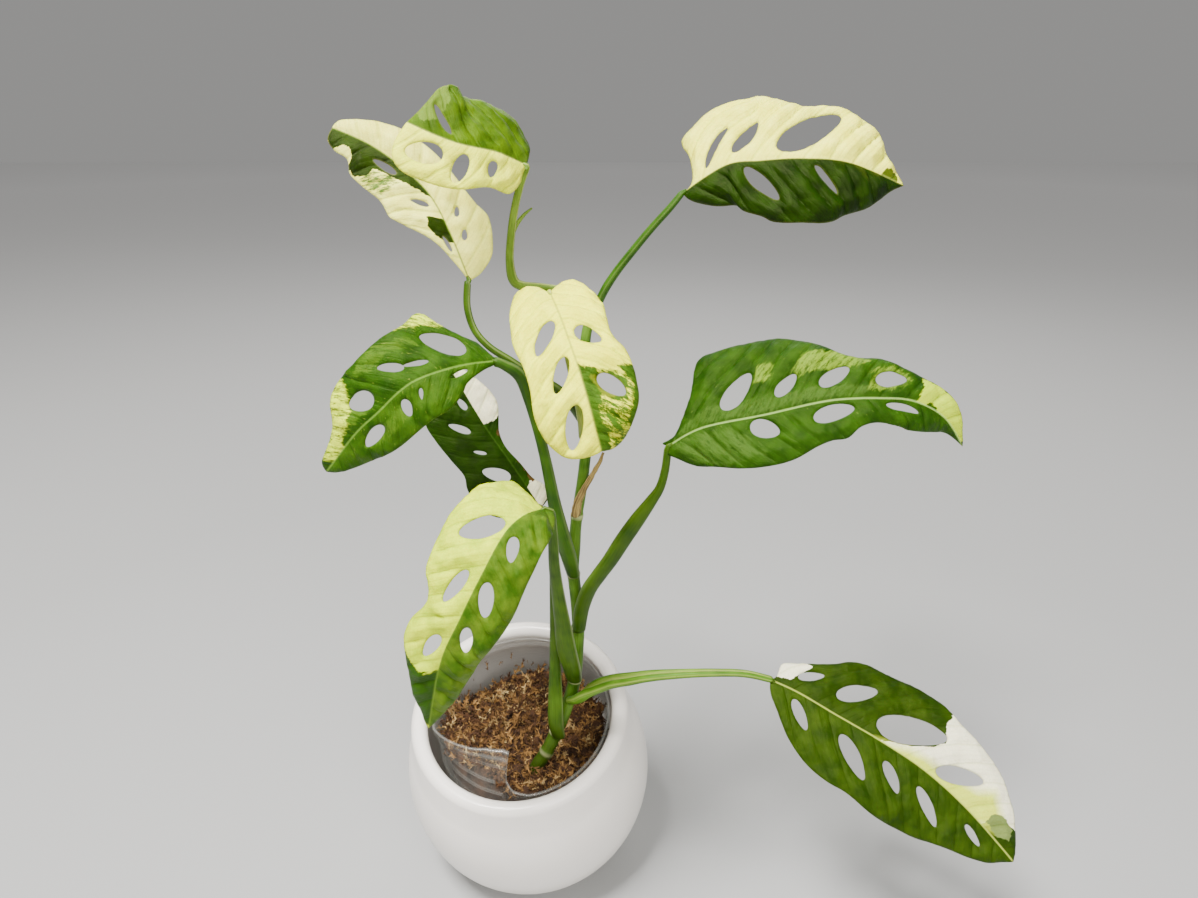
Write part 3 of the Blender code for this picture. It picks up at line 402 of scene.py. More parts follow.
def strandTree():
    tree = bpy.data.node_groups.new("moss strands", "GeometryNodeTree")
    for name, kind in (("Geometry", "Geometry"), ("Density", "Float"), ("Seed", "Int"),
                       ("Shapes", "Collection"), ("Material", "Material")):
        tree.interface.new_socket(name, in_out="INPUT", socket_type="NodeSocket" + kind)
    tree.interface.new_socket("Geometry", in_out="OUTPUT", socket_type="NodeSocketGeometry")
    add = partial(addNode, tree)
    given = add("NodeGroupInput").node.outputs
    top = add("GeometryNodeInputNamedAttribute", {"Name": "top"}, data_type="FLOAT")
    spots = add("GeometryNodeDistributePointsOnFaces", {
        "Mesh": given["Geometry"], "Seed": given["Seed"],
        "Density": add("Math", (top, given["Density"]), operation="MULTIPLY")})
    shapes = add("GeometryNodeCollectionInfo", {
        "Collection": given["Shapes"], "Separate Children": True, "Reset Children": True})
    turns = add("FunctionNodeRandomValue", {
        0: (-1.35, -1.35, 0.0), 1: (1.35, 1.35, 6.28), "Seed": given["Seed"]}, data_type="FLOAT_VECTOR")
    sizes = add("FunctionNodeRandomValue", {0: 0.55, 1: 1.25, "Seed": 5}, data_type="FLOAT")
    grown = add("GeometryNodeInstanceOnPoints", {
        "Points": spots, "Instance": shapes, "Pick Instance": True, "Rotation": turns, "Scale": sizes})
    tones = add("FunctionNodeRandomValue", {0: 0.0, 1: 0.75, "Seed": 8}, data_type="FLOAT")
    toned = add("GeometryNodeStoreNamedAttribute", {
        "Geometry": grown, "Name": "strandTone", "Value": tones}, data_type="FLOAT", domain="INSTANCE")
    plain = add("GeometryNodeRealizeInstances", (toned,))
    add("NodeGroupOutput", {"Geometry": add("GeometryNodeSetMaterial", {
        "Geometry": plain, "Material": given["Material"]})})
    return tree


def addBits(strands, bit):  # loose bits of moss that cling to the cup's wall behind the bed
    rng = np.random.default_rng(moss["seed"])
    shape = bmesh.new()
    shape.from_mesh(strands)
    tone = shape.verts.layers.float["strandTone"]
    shape.faces.ensure_lookup_table()
    slot = shape.faces[0].material_index
    for _ in range(moss["bits"]):
        angle, height = math.radians(rng.uniform(88, 182)), rng.uniform(16, 36)
        reach = cupRadius(height) - cup["wall"] - 0.5
        spot = cupPlace((reach * math.cos(angle), reach * math.sin(angle), height)) * mm
        lean = rng.uniform(0, math.pi)
        flat = math.cos(lean)
        heading = Vector((-math.sin(angle) * flat, math.cos(angle) * flat, math.sin(lean)))
        start = len(shape.verts)
        shape.from_mesh(bit)
        fresh = shape.verts[start:]
        bmesh.ops.transform(shape, verts=fresh, matrix=Matrix.Translation(spot)
                            @ heading.to_track_quat("Z", "Y").to_matrix().to_4x4()
                            @ Matrix.Scale(rng.uniform(0.3, 0.9), 4))
        for vertex in fresh:
            vertex[tone] = rng.uniform(0.1, 0.7)
            for face in vertex.link_faces:
                face.material_index = slot
    shape.to_mesh(strands)
    shape.free()


def buildMoss():
    material = mossMaterial()
    inset = cup["wall"] + moss["gap"]
    low = cup["baseHeight"] + inset
    walls = [(cup["baseRadius"] - cup["baseRound"] - inset, low), (cup["baseRadius"] - inset, low + 2.3)]
    walls += [(cupRadius(h) - inset, h) for h in (-25.0, 0.0, 12.0)]
    sides = moss["sides"]
    shares = np.linspace(1.0, 0.02, 40)
    rings, faces = revolve(walls + [(1, 1)] * len(shares), sides, cupReach)
    points = [cupPlace(p) for p in rings[:len(walls) * sides]]
    points += [mossPlace(math.tau * side / sides, share) for share in shares for side in range(sides)]
    points += [cupPlace((0, 0, low)), mossPlace(0.0, 0.0)]
    top = np.zeros(len(points))
    top[(len(walls) + 1) * sides:-2] = 1.0
    body = makePiece("moss_bed", points, faces, material, fields={"top": top, "strandTone": top * 0.12})
    shapes = bpy.data.collections.new("strand shapes")
    for i, length in enumerate(moss["lengths"]):
        shapes.objects.link(strandShape("strand%d" % i, moss["shapeSeed"] + i, length))
    grow = body.modifiers.new("strands", "NODES")
    grow.node_group = strandTree()
    area = math.pi * (cupRadius(24) * mm) ** 2
    values = {"Density": moss["strands"] / area, "Seed": moss["seed"], "Shapes": shapes, "Material": material}
    for item in grow.node_group.interface.items_tree:
        if item.in_out == "INPUT" and item.name in values:
            grow[item.identifier] = values[item.name]
    bpy.context.view_layer.update()
    grown = bpy.data.meshes.new_from_object(body.evaluated_get(bpy.context.evaluated_depsgraph_get()))
    body.modifiers.remove(grow)
    addBits(grown, shapes.objects[0].data)
    place(body, "moss")
    place(addObject("moss_strands", grown), None)


def greenMaterial(name, low, high, channel, dry):
    # Living green tissue: fine lengthwise streaks, a paler channel and lips, dry papery edges where a sheath
    # is open, pale corky rings, brown specks, and painted shade darkening the foot toward the moss
    material, add = startMaterial(
        name, Specular_IOR_Level=0.16, Subsurface_Weight=0.06, Subsurface_Scale=0.002)
    uv = add("UVMap", uv_map="surface")
    coords = add("TexCoord", out="Object")
    turn = add("SeparateXYZ", (uv,), out=1)
    isOpen = add("Attribute", out="Fac", attribute_name="open")
    stretched = add("VectorMath", (uv, (0.05, 16.0, 1.0)), operation="MULTIPLY")
    streaks = add("TexNoise", (stretched, 2.2, 3.0, 0.55))  # about 1 mm wide and 20 mm long
    patches = add("TexNoise", (coords, 70.0, 2.0, 0.55))  # 14 mm
    tone = add("Math", (streaks, 0.6, patches), operation="MULTIPLY_ADD")
    colour = add("Mix", (add("MapRange", (tone, 0.55, 1.05)), low, high), data_type="RGBA")
    offset = add("Math", (add("Math", (turn, 0.25), operation="SUBTRACT"),), operation="ABSOLUTE")
    frayed = add("Math", (streaks, 0.16, offset), operation="MULTIPLY_ADD")
    inChannel = add("Math", (add("MapRange", (frayed, 0.08, 0.17, 0.85, 0.0)), isOpen), operation="MULTIPLY")
    turned = add("Math", (turn, 0.25), operation="PINGPONG")
    wing = add("Math", (add("MapRange", (turned, 0.015, 0.06, 0.6, 0.0)), isOpen), operation="MULTIPLY")
    dryEdge = add("Attribute", out="Fac", attribute_name="dryEdge")
    crumpled = add("TexNoise", (coords, 500.0, 3.0, 0.55))  # 2 mm
    papery = add("MapRange", (add("Math", (crumpled, 0.5, dryEdge), operation="MULTIPLY_ADD"), 0.85, 1.05))
    ring = add("Attribute", out="Fac", attribute_name="ring")
    corky = add("MapRange", (ring, 0.35, 0.95, 0.0, 0.85))
    specks = add("TexVoronoi", {0: coords, "Scale": 330.0})  # 3 mm apart
    speck = add("MapRange", (specks, 0.06, 0.13, 0.5, 0.0))
    # painted shade: the tissue darkens from 125 mm down toward the moss, standing in for the moss's shadow
    paintedFootShade = add("MapRange", (add("SeparateXYZ", (coords,), out=2), 0.09, 0.125, 0.85, 0.0))
    for share, code in ((inChannel, channel), (wing, channel), (papery, dry), (corky, "C9CB92"),
                        (speck, "4A3A1C"), (paintedFootShade, "1E2804")):
        colour = add("Mix", (share, colour, code), data_type="RGBA")
    gloss = add("MapRange", (streaks, 0.0, 1.0, 0.34, 0.55))
    bump = add("Bump", {"Height": streaks, "Strength": 0.25, "Distance": 0.0004})
    return finishMaterial(material, Base_Color=colour, Roughness=gloss, Normal=bump)


def channelSection(angle, width):  # open on its upper side, wider and flatter where it sheathes the stem
    depth = min(width, 1.2 + 0.55 * width)
    x, y = math.cos(angle) * width / 2, math.sin(angle) * depth / 2
    if y > 0:
        openness = 0.5 + 0.35 * min(max((width - 4.5) / 4, 0), 1)
        y *= 1 - openness * math.exp(-(x / (0.28 * width)) ** 2)
    return x, y


# Stem: x, y, z and diameter from inside the moss to the last node, the heights of its rings, the dried sheath
stem = {
    "line": [(2.5, -34, 71, 6.6), (6, -35, 85, 6.6), (12, -34, 95, 6.6), (17, -32, 106, 6.6),
        (22, -31, 121, 6.2), (26, -30, 136, 6.2), (28, -28, 155, 6), (28, -27, 169, 6), (26, -26, 193, 5.6),
        (27, -25, 207, 5.4), (28, -24, 221, 5.2), (31, -22, 244, 5), (33, -20, 262, 4.8), (33, -18, 283, 4.6),
        (32, -16, 302, 4.4), (36, -14, 317, 4.2)],
    "nodes": [95, 106, 136, 164, 193, 222, 259], "sides": 32, "ringRise": 0.95, "neck": 0.25, "waver": 0.25,
    "sheath": [(27.5, -26, 224, 5.8), (28.5, -27.5, 231, 5), (31.5, -28, 238, 3.4), (35, -27, 244, 2.6),
        (38, -25, 249, 2), (40, -23, 253, 1.4)],
    "crinkle": 0.35, "tones": ("2C5008", "5E8226"), "sheathTones": ("3A2508", "C4A85E"),
}


def buildStem():
    line = roundedLine(stem["line"], 12)
    heights, sides = line[:, 2], stem["sides"]
    ring = np.max([np.exp(-((heights - z) / 1.3) ** 2) for z in stem["nodes"]], axis=0)
    neck = np.max([np.exp(-((heights - z - 2.6) / 1.6) ** 2) for z in stem["nodes"]], axis=0)
    line[:, 3] += stem["ringRise"] * ring - stem["neck"] * neck
    line[:, :2] += stem["waver"] * np.c_[np.sin(heights / 9), np.cos(heights / 7)]
    points, faces, uv = tube(line, sides, roundSection, (0, 1, 0.1))
    zeros = np.zeros(len(points))
    material = greenMaterial("living stem", *stem["tones"], "7FA544", "8A6A40")
    place(makePiece("stem", points, faces, material, uv=uv, fields={
        "ring": np.r_[np.repeat(ring, sides), 0, 0], "open": zeros, "dryEdge": zeros}), "main_stem")


def buildDriedSheath():
    # Dry sheath: papery and matt, with pale and dark brown fibres along it
    material, add = startMaterial("dry leaf sheath", Roughness=0.85)
    drawn = add("VectorMath", (add("UVMap", uv_map="surface"), (0.03, 7.0, 1.0)), operation="MULTIPLY")
    fibre = add("TexNoise", (drawn, 1.6, 4.0, 0.65))  # about 1 mm wide
    tone = add("Mix", (add("MapRange", (fibre, 0.4, 0.62)), *stem["sheathTones"]), data_type="RGBA")
    bump = add("Bump", {"Height": fibre, "Strength": 0.6, "Distance": 0.0006})
    finishMaterial(material, Base_Color=tone, Normal=bump)
    points, faces, uv = tube(roundedLine(stem["sheath"], 10), 28, channelSection, (-0.8, 0.4, 0.3))
    crinkle = [noise.noise(Vector(p) / 2.2) * stem["crinkle"] for p in points]
    moved = np.array(points) + np.outer(crinkle, (1, 0.5, 0.3))
    place(makePiece("papery_sheath", moved, faces, material, uv=uv), "dried_sheath")


# Petioles: x, y, z and width along each, the way the channel looks, its tones and how pale the channel is
petioles = {}
petioles["back_left"] = {
    "line": [(18, -36, 107, 7), (17, -38, 117, 8), (17, -36, 129, 7.5), (17, -33, 144, 6), (17, -31, 160, 5),
        (17, -29, 180, 4.4), (17, -29, 202, 4), (16, -31, 218, 3.6), (13.4, -34, 230.3, 3)],
    "channel": (0.4, 0.9, 0.1), "tones": ("223E02", "4A6A10"), "pale": 0.3,
}
petioles["lower_right"] = {
    "line": [(25.5, -33, 127, 8.4), (29, -38, 132.5, 9.6), (34, -41.5, 139.3, 9.8), (43, -43.5, 144.9, 9.2),
        (52.5, -46.5, 149, 8.2), (62, -49.5, 153, 6.8), (76, -52, 156, 5.2), (90, -54, 158, 4.4),
        (104, -54, 157.5, 4), (116.4, -54.1, 154.3, 3.6)],
    "channel": (-0.1, 0.1, 1), "tones": ("2C5406", "5E8A18"), "channelTone": "C9D26E", "pale": 0.5,
    "dry": 0.1,
}
petioles["lower_left"] = {
    "line": [(26, -33, 139, 8), (25, -38, 149, 9), (23, -43, 163, 9.5), (21.5, -47, 181, 7.5),
        (20, -50, 197, 6), (19, -56, 215, 5), (19, -61, 231, 4.2), (19, -66, 243, 3.4), (19, -69, 247, 3)],
    "channel": (0.3, 0.9, 0.2), "tones": ("203C02", "4A6A0E"), "pale": 0.35,
}
petioles["right"] = {
    "line": [(28.5, -29, 164, 6.6), (30, -31, 177, 7.6), (33.2, -34, 189, 8.2), (38, -38, 199.5, 8.2),
        (43, -41, 209, 8.2), (48.6, -43, 220.2, 8.4), (54.5, -44.3, 230.7, 7.8), (60.2, -44.5, 239.7, 5.8),
        (63.8, -44.5, 246, 4.3), (65.8, -44, 254, 3.7), (66.6, -44, 263, 3.4)],
    "channel": (-0.45, 0.85, 0.25), "tones": ("203E02", "425F06"), "channelTone": "8CA83C", "pale": 0.3,
}
petioles["middle_left"] = {
    "line": [(26, -28, 194, 7), (24, -33, 207, 8.5), (21, -37, 222, 8.5), (18.5, -40, 238, 6.5),
        (16, -43, 256, 5.4), (13.5, -46, 271, 5), (10, -49, 287, 5), (7, -51.5, 298, 6.4), (1, -53, 303, 4.6),
        (-2.5, -53.6, 304.5, 4.2)],
    "channel": (0.6, 0.8, 0.2), "tones": ("1E3E06", "3E640A"), "pale": 0.2,
}
petioles["front"] = {
    "line": [(32, -22, 260, 6), (31.5, -28, 271, 6), (29, -34, 286, 5), (26, -39, 303, 4.4),
        (23, -42.5, 318, 4), (20.5, -43.8, 327, 3.4), (19, -45, 329.5, 3)],
    "channel": (0.2, 0.9, 0.1), "tones": ("6C8628", "B0B848"), "pale": 0.6,
}
petioles["upper_left"] = {
    "line": [(32, -19, 265, 6), (27, -23, 275, 6.5), (20, -26, 284, 6), (10, -30, 291.5, 5),
        (1, -33, 299, 4.2), (-7, -34, 305, 3.6), (-12.5, -34, 312, 3.4), (-15, -33, 321, 3.2),
        (-14.7, -30.8, 330.3, 3)],
    "channel": (0.4, 0.5, 0.7), "tones": ("243F02", "4A6A10"), "pale": 0.3,
}
petioles["upper_right"] = {
    "line": [(36, -15, 315, 5), (40, -16, 324, 5.5), (45, -17, 332, 5), (51, -18, 340, 4.6),
        (59, -19, 350, 4.2), (66, -20, 358, 3.8), (70.5, -20, 363.5, 3.2)],
    "channel": (-0.6, 0, 0.8), "tones": ("1E4003", "3A640C"), "pale": 0.15,
}
petioles["top"] = {
    "line": [(35, -14.8, 319.4, 4), (26, -15.5, 323, 4), (14, -16, 325, 4), (6, -17, 326, 4.4),
        (2.4, -18, 329, 4.6), (1.4, -19, 337, 3.6), (2.4, -20, 347, 3.4), (4.2, -22, 357, 3.2),
        (7, -24, 367, 3), (10, -26, 374.3, 2.8)],
    "channel": (0.5, 0.8, 0.3), "tones": ("3C5C0C", "7C9830"), "channelTone": "D8DE82", "pale": 0.6,
    "spike": [(2, -20, 345, 1.8), (4.5, -20, 351, 1.8), (7.8, -19, 355.2, 1.4), (11.1, -18, 357.8, 0.7)],
}


def buildPetiole(name, petiole):
    line = roundedLine(petiole["line"], 8)
    foot, further = np.array(leaves[name]["midrib"][:2])
    joint = foot + unit(further - foot) * 2.0  # the stalk runs on into the blade
    line = np.vstack([line, np.r_[foot, line[-1, 3] * 0.8], np.r_[joint, line[-1, 3] * 0.45]])
    sides = 36
    points, faces, uv = tube(line, sides, channelSection, petiole["channel"])
    lips = np.exp(-((np.abs(np.arange(sides) / sides - 0.25) - 0.115) / 0.022) ** 2)
    wide = np.clip((line[:, 3] - 5.2) / 2.2, 0, 1)
    dryEdge = (petiole.get("dry", 0.8) * wide[:, None] * lips[None]).ravel()
    isOpen = np.full(len(dryEdge), petiole["pale"])
    if "spike" in petiole:
        more, moreFaces, moreUv = tube(roundedLine(petiole["spike"], 6), 12, roundSection, (0, 1, 0))
        faces += [tuple(i + len(points) for i in face) for face in moreFaces]
        points += more
        uv += moreUv
    rest = np.zeros(len(points) - len(dryEdge))
    material = greenMaterial(
        "living petiole " + name, *petiole["tones"], petiole.get("channelTone", "C3CF86"), "9A7A4C")
    place(makePiece("stalk_" + name, points, faces, material, uv=uv, fields={
        "open": np.r_[isOpen, rest], "dryEdge": np.r_[dryEdge, rest], "ring": np.zeros(len(points))}),
        "petiole_" + name)


# What the blades share: the side veins' lean, bend and tone, and the relief of the surface in millimetres,
# where uneven and pucker are height, size and seed
veins = {
    # tone darkens the vein lines: partly the veins' own colour, partly painted shade in their grooves
    "lean": 0.62, "bend": 0.01, "stagger": 0.45, "tone": "B9C486", "sheen": "E4EDA2", "backTone": "9DB565",
}
relief = {
    "quilt": 1.5, "ripple": 0.3, "groove": 0.35, "rib": 0.9, "uneven": (0.9, 9, 0), "pucker": (0.36, 2.6, 9),
    "edge": 0.16, "middle": 0.24,
}

# Blades. left and right are the outline's halves as (along, out from the midrib); holes are (along, across,
# length, width, lean); fold is in degrees at base and tip; wave is height, length and start; marks are (tone,
# raggedness, loops) laid over the tones of each half
leaves = {}
leaves["upper_left"] = {
    "midrib": [(-14, -30, 331), (-21, -25, 348), (-29, -21, 363), (-41, -17, 374), (-53, -15, 382),
        (-67, -14, 388)],
    "face": [(0.2, -0.9, 0.35), (0.1, -0.9, 0.4)], "fold": (8, 0), "bow": -1, "wave": (1, 40, 0.1),
    "spacing": 9.5, "seed": 3,
    "left": [(4, 1.4), (10, 3.5), (20, 7.7), (30, 14.7), (40, 18), (50, 15.8), (60, 15.8), (69, 14),
        (73, 9.2), (79, 8), (83, 5)],
    "right": [(1, 5), (5, 11), (10, 14), (20, 16.8), (27, 14.2), (35, 12.6), (48, 13), (60, 12.3), (70, 9.2),
        (80, 4.9), (82.5, 2.5)],
    "holes": [(36.5, 5, 8, 2.2, 33), (16.5, 2.8, 7, 1.6, 8), (57.5, 4, 11, 2.8, 5), (26.5, -6, 3.9, 2, 28),
        (17.3, -5, 4.2, 2.2, 25), (42, -4.6, 4, 1.5, 60)],
    "leftTones": ("ECEB6A", "F7F77F"), "rightTones": ("E9E664", "F6F57A"), "ribTone": "4E6A1C",
    "ribShow": 0.75, "veinShow": 0.4, "marginTone": "A9AE62", "quilt": 1.2,
    "markShade": {0: "5F7A30", 1: "223804"},
    "marks": [
        ("42601C", 2.6, [[(48, 6), (55, 6), (61, 9), (63, 14.5), (57, 15.5), (50, 13)]]),
        ("102101", 1.1, [[(85, -1.5), (83.5, 5), (80, 7.8), (77, 5.5), (74, 4.5), (71, 8.5), (72, 12),
            (66, 14.5), (60, 11), (61, 7.5), (55, 6), (50, 5), (45, 3.8), (40, 2.2), (30, 1.2), (22, 0.8),
            (22, -0.1), (60, -0.4), (76, -1)], [(15, 0.2), (17, 2.6), (21, 5.6), (26, 7), (29.5, 5.6),
            (28, 2.6), (24, 0.2)]]),
    ],
}
leaves["top"] = {
    "midrib": [(10, -26, 375), (4, -32, 378.5), (-1, -37, 381), (-12, -44, 384), (-20, -46.5, 387),
        (-26, -47, 389.6), (-31, -46.3, 391.8)],
    "face": [(0.25, -0.8, 0.5), (0, -0.9, 0.4)], "fold": (-14, -10), "bow": -1, "wave": (0.8, 40, 0.2),
    "spacing": 9, "seed": 4,
    "left": [(1.6, 4), (1.8, 7.5), (5.5, 12.6), (11, 13.4), (20, 13.5), (30, 16), (40, 16.5), (47, 16),
        (51.5, 12.5), (52.5, 6.5)],
    "right": [(-2.5, 5), (-4, 12), (0, 19.8), (10, 23), (20, 22.8), (30, 22), (37, 22.6), (43, 20.3),
        (46.5, 16.5), (48.5, 9.5), (50, 4)],
    "holes": [(41.8, 7.2, 13, 7.4, 18), (29.5, 8.5, 11, 4.8, 76), (17, 6.6, 6.4, 4.6, 70),
        (39.5, -7, 13, 3, 38)],
    "leftTones": ("E5ED32", "F6FC4D"), "rightTones": ("2F4C01", "507004"), "ribTone": "CFD978",
    "ribShow": 0.25, "veinShow": 0.35, "marginTone": "8EA33A", "quilt": 1,
    "marks": [
        ("617B25", 1.9, [[(43, -24), (39, -14), (41, -6), (47, -3), (51, -6), (51, -22)]]),
    ],
}
leaves["upper_right"] = {
    "midrib": [(71, -20, 364), (87, -25, 375), (100, -28, 377), (116, -30, 378), (135, -27, 376),
        (159.5, -18, 366.5)],
    "face": [(-0.1, -0.8, 0.55), (-0.1, -0.8, 0.55)], "fold": (-12, -8), "bow": -1.5, "wave": (0.8, 50, 0.2),
    "spacing": 10, "seed": 5,
    "left": [(5.5, 1.5), (8, 12), (6.8, 20.2), (10, 25), (20, 29), (32, 33), (42, 31), (50, 28), (66, 27.3),
        (75, 24.7), (84, 20.5), (88, 11.8), (92.5, 5)],
    "right": [(1, 3.5), (4, 7.5), (10, 12.5), (18, 15.7), (32, 20), (38, 23.2), (48, 24.4), (60, 24),
        (70, 20), (80, 15.2), (86, 10), (91, 4.5)],
    "holes": [(17.5, 10.2, 17, 3, 55), (28, 12, 17.5, 5, 60), (54, 13.5, 33, 12, 33), (34, -8.9, 18, 5, 45),
        (59, -7.8, 14, 2.8, 46)],
    "leftTones": ("EFEE4B", "FCFC66"), "rightTones": ("091E00", "173100"), "ribTone": "B4BE58",
    "ribShow": 0.3, "veinShow": 0.42, "marginTone": "77843A", "quilt": 1.6,
    "marks": [
        ("52620E", 1.7, [[(83, 0.2), (86, 3), (92, 3.4), (95, 0.4)]]),
    ],
}
leaves["front"] = {
    "midrib": [(19, -46, 330), (23.5, -62, 325), (27.5, -74, 318), (31, -82, 310), (34, -87, 301),
        (36.5, -90, 292), (39, -90, 282)],
    "face": [(0.05, -0.6, 0.7), (0.05, -0.95, 0.3)], "fold": (-8, -8), "bow": -1, "wave": (0.8, 40, 0.2),
    "spacing": 9.5, "seed": 6,
    "left": [(-4.5, 3.5), (-8.3, 8), (-8, 12), (-4, 16), (4, 18), (13, 18), (22, 16.8), (30, 16.3),
        (40, 19.3), (50, 19.6), (60, 17.9), (70, 12), (74.5, 6)],
    "right": [(-2.5, 1.8), (-6.5, 4), (-8, 9.5), (-4, 13.5), (5, 17), (14, 19), (25, 19.8), (36, 18.8),
        (45, 19), (55, 20.2), (63, 19.5), (70, 16.7), (74.5, 12.5), (75.5, 6)],
    "holes": [(29.5, 7.5, 11, 7, 45), (51.5, 9.9, 12, 6.3, 40), (25.5, -8.2, 16.5, 6, 33),
        (43, -6.8, 14.5, 5, 30), (63.5, -7.4, 17.5, 6.2, 20)],
    "leftTones": ("EBEC25", "F8FB38"), "rightTones": ("E9EB22", "F8FB3A"), "ribTone": "8A9436",
    "ribShow": 0.6, "veinShow": 0.45, "marginTone": "8E9A40", "quilt": 1.7, "markShade": {0: "1D3E03"},
    "marks": [
        ("345104", 2.2, [[(37, 0.3), (43, 2.4), (46, 7), (47, 12), (51, 15.5), (58, 14), (57, 8), (53, 5.5),
            (58, 3), (64, 3), (70, 4), (75.5, 3), (76, -1.5), (63, -1.2), (48, 0)], [(45, 15), (47, 21),
            (56, 21.5), (66, 18), (70, 13), (66, 12), (60, 15.5), (53, 18), (48, 15)], [(59, 4.5), (66, 8.5),
            (72, 9.5), (66, 6)]]),
        ("3C5E10", 2.7, [[(44, 2), (47, 12), (45, 16), (50, 21), (60, 21), (70, 16), (75, 8), (76, 1),
            (60, 0.5), (50, 0.5)]]),
        ("6B770B", 2.4, [[(46, 3), (50, 4), (56, 7), (56, 12), (50, 13), (47, 9)]]),
    ],
}
leaves["middle_left"] = {
    "midrib": [(-1.5, -54, 305), (-14, -63, 306), (-28, -70, 303.5), (-36, -72, 299), (-45, -72, 290.5),
        (-55.5, -70, 280.5), (-69.5, -66, 263)],
    "face": [(0.2, -0.7, 0.6), (0.2, -0.85, 0.4)], "fold": (-6, -6), "bow": -1, "wave": (0.8, 50, 0.4),
    "spacing": 9, "seed": 7,
    "left": [(2, 1.6), (6, 2.8), (12, 5.4), (16, 7.6), (18, 10), (22, 13), (28, 15.3), (40, 15.7), (50, 15.3),
        (60, 14.7), (70, 12.4), (80, 8.3), (87, 3.8)],
    "right": [(1, 2), (5, 8.7), (10, 12), (15, 17), (18, 20.5), (20.5, 25), (24, 26.3), (30, 22.5), (38, 21),
        (48, 20), (55, 20.3), (62, 19), (67, 15.5), (71, 9.8), (78, 6.3), (88, 3.8)],
    "holes": [(17.5, 2.9, 8, 1.8, 12), (34.5, 5.4, 4.5, 1.8, 60), (43.5, 6.4, 7, 4.6, 60),
        (62, 5.6, 13, 4.8, 6), (18.8, -10.8, 18, 8.2, 38), (31, -6.2, 9, 2.2, 15), (39, -9.4, 9.5, 3.3, 40),
        (56.5, -7.4, 12, 7.6, 18)],
    "leftTones": ("1B3F01", "385B07"), "rightTones": ("153801", "2C5104"), "ribTone": "7BA23C",
    "ribShow": 0.5, "veinShow": 0.35, "marginTone": "4C6A24", "quilt": 0.7, "streak": ("94A73A", 0.62, 0.72),
    "marks": [
        ("456611", 2.8, [[(28, -13), (38, -14.5), (46, -13), (52, -17), (42, -20), (32, -17)], [(54, -2),
            (64, -3), (74, -2), (64, -7), (56, -5)], [(38, 3), (52, 5), (62, 3), (70, 6), (58, 10),
            (44, 8)]]),
        ("D3E72B", 2.9, [[(12, -16), (15, -26), (27, -28), (36, -23), (28, -20.5), (20, -19)], [(58, -16),
            (61, -21.5), (69, -18.5), (75, -13.5), (81, -9.5), (87, -5), (82, -1.5), (73, -1.8), (66, -4.5),
            (62, -9)]]),
    ],
}
leaves["back_left"] = {
    "midrib": [(12.5, -34, 231), (5, -33, 243.5), (-2.5, -31, 255), (-9.5, -29, 265), (-15, -27, 274),
        (-20, -25, 282.5), (-25.5, -22.5, 292)],
    "face": [(0.2, -0.9, 0.4), (0.2, -0.9, 0.3)], "fold": (6, 6), "bow": -1, "wave": (0.8, 50, 0.4),
    "spacing": 9, "seed": 8,
    "left": [(-1, 3), (3, 12), (10, 19.5), (18, 22.5), (26, 22), (32, 19.7), (40, 20.2), (50, 21.3), (58, 21),
        (66, 16), (70, 10)],
    "right": [(2, 5), (5.5, 6.5), (9, 6.5), (14, 4.2), (22, 3.4), (31, 2.2), (38, 3.6), (44, 7), (50, 9.9),
        (56, 9.8), (62, 8), (69, 5)],
    "holes": [(24, 8, 13, 5.6, 40), (36, 8.2, 5.6, 1.5, 45), (48.7, 9.8, 10, 3, 40), (57, 3.4, 6, 2.8, 10)],
    "leftTones": ("0C2600", "1B3802"), "rightTones": ("0E2A00", "204102"), "ribTone": "5F8A30",
    "ribShow": 0.12, "veinShow": 0.3, "marginTone": "3E5A1C", "quilt": 0.6,
    "marks": [
        ("EFE9C4", 1.6, [[(46, 0.5), (44, -6), (47, -12), (58, -12), (66, -8), (74, -2), (70, 2), (60, 1.5)],
            [(0, -0.2), (3, -8), (9, -8), (14.5, -4.5), (9, -1.4)]]),
        ("50381C", 1.6, [[(12, -3), (13, -6.5), (22, -6), (31, -4.6), (40, -4), (40, -2.6), (30, -2.6),
            (20, -3.2)]]),
    ],
}
leaves["lower_left"] = {
    "midrib": [(16, -70, 249), (9, -82, 252), (2, -90, 248), (-7, -97, 233), (-15, -100, 217),
        (-24, -99, 196), (-32, -94, 160)],
    "face": [(0.1, -0.4, 0.9), (0.1, -0.95, 0.3)], "fold": (-5, -8), "bow": -1, "wave": (0.8, 60, 0.4),
    "spacing": 11, "seed": 9,
    "left": [(-2.5, 4), (2.5, 8.6), (9.5, 12.4), (18, 15.4), (30, 16.7), (40, 17), (50, 17.7), (60, 17.4),
        (70, 15.6), (80, 14.4), (90, 13.4), (100, 10.6), (108, 8), (115, 4.3)],
    "right": [(-2, 5.5), (-6, 13.5), (-8, 20), (-3, 24), (8, 24), (20, 23.8), (30, 23.2), (42, 22),
        (52, 20.4), (57, 17), (62, 14.9), (68, 15.2), (74, 17), (81, 17), (87, 14.8), (96, 11), (105, 8.4),
        (113, 4.8)],
    "holes": [(28.8, 5.9, 10.5, 4.8, 20), (51.3, 6, 14.5, 5.8, 20), (70.3, 6, 12.3, 5, 18),
        (27.8, -9, 18, 8.2, 48), (52, -7, 16, 5, 12), (79.5, -5.4, 12, 5, 15)],
    "leftTones": ("2B4E04", "557012"), "rightTones": ("B4CC02", "D9EC0C"), "ribTone": "8FB03E",
    "ribShow": 0.25, "veinShow": 0.3, "marginTone": "6C8A2C", "quilt": 1.35, "markShade": {0: "224305"},
    "streak": ("728C2A", 0.68, 0.8),
    "marks": [
        ("284C04", 2.3, [[(84, -18), (92, -7), (88, 0), (122, 0), (119, -4), (106, -11), (95, -14)]]),
    ],
}
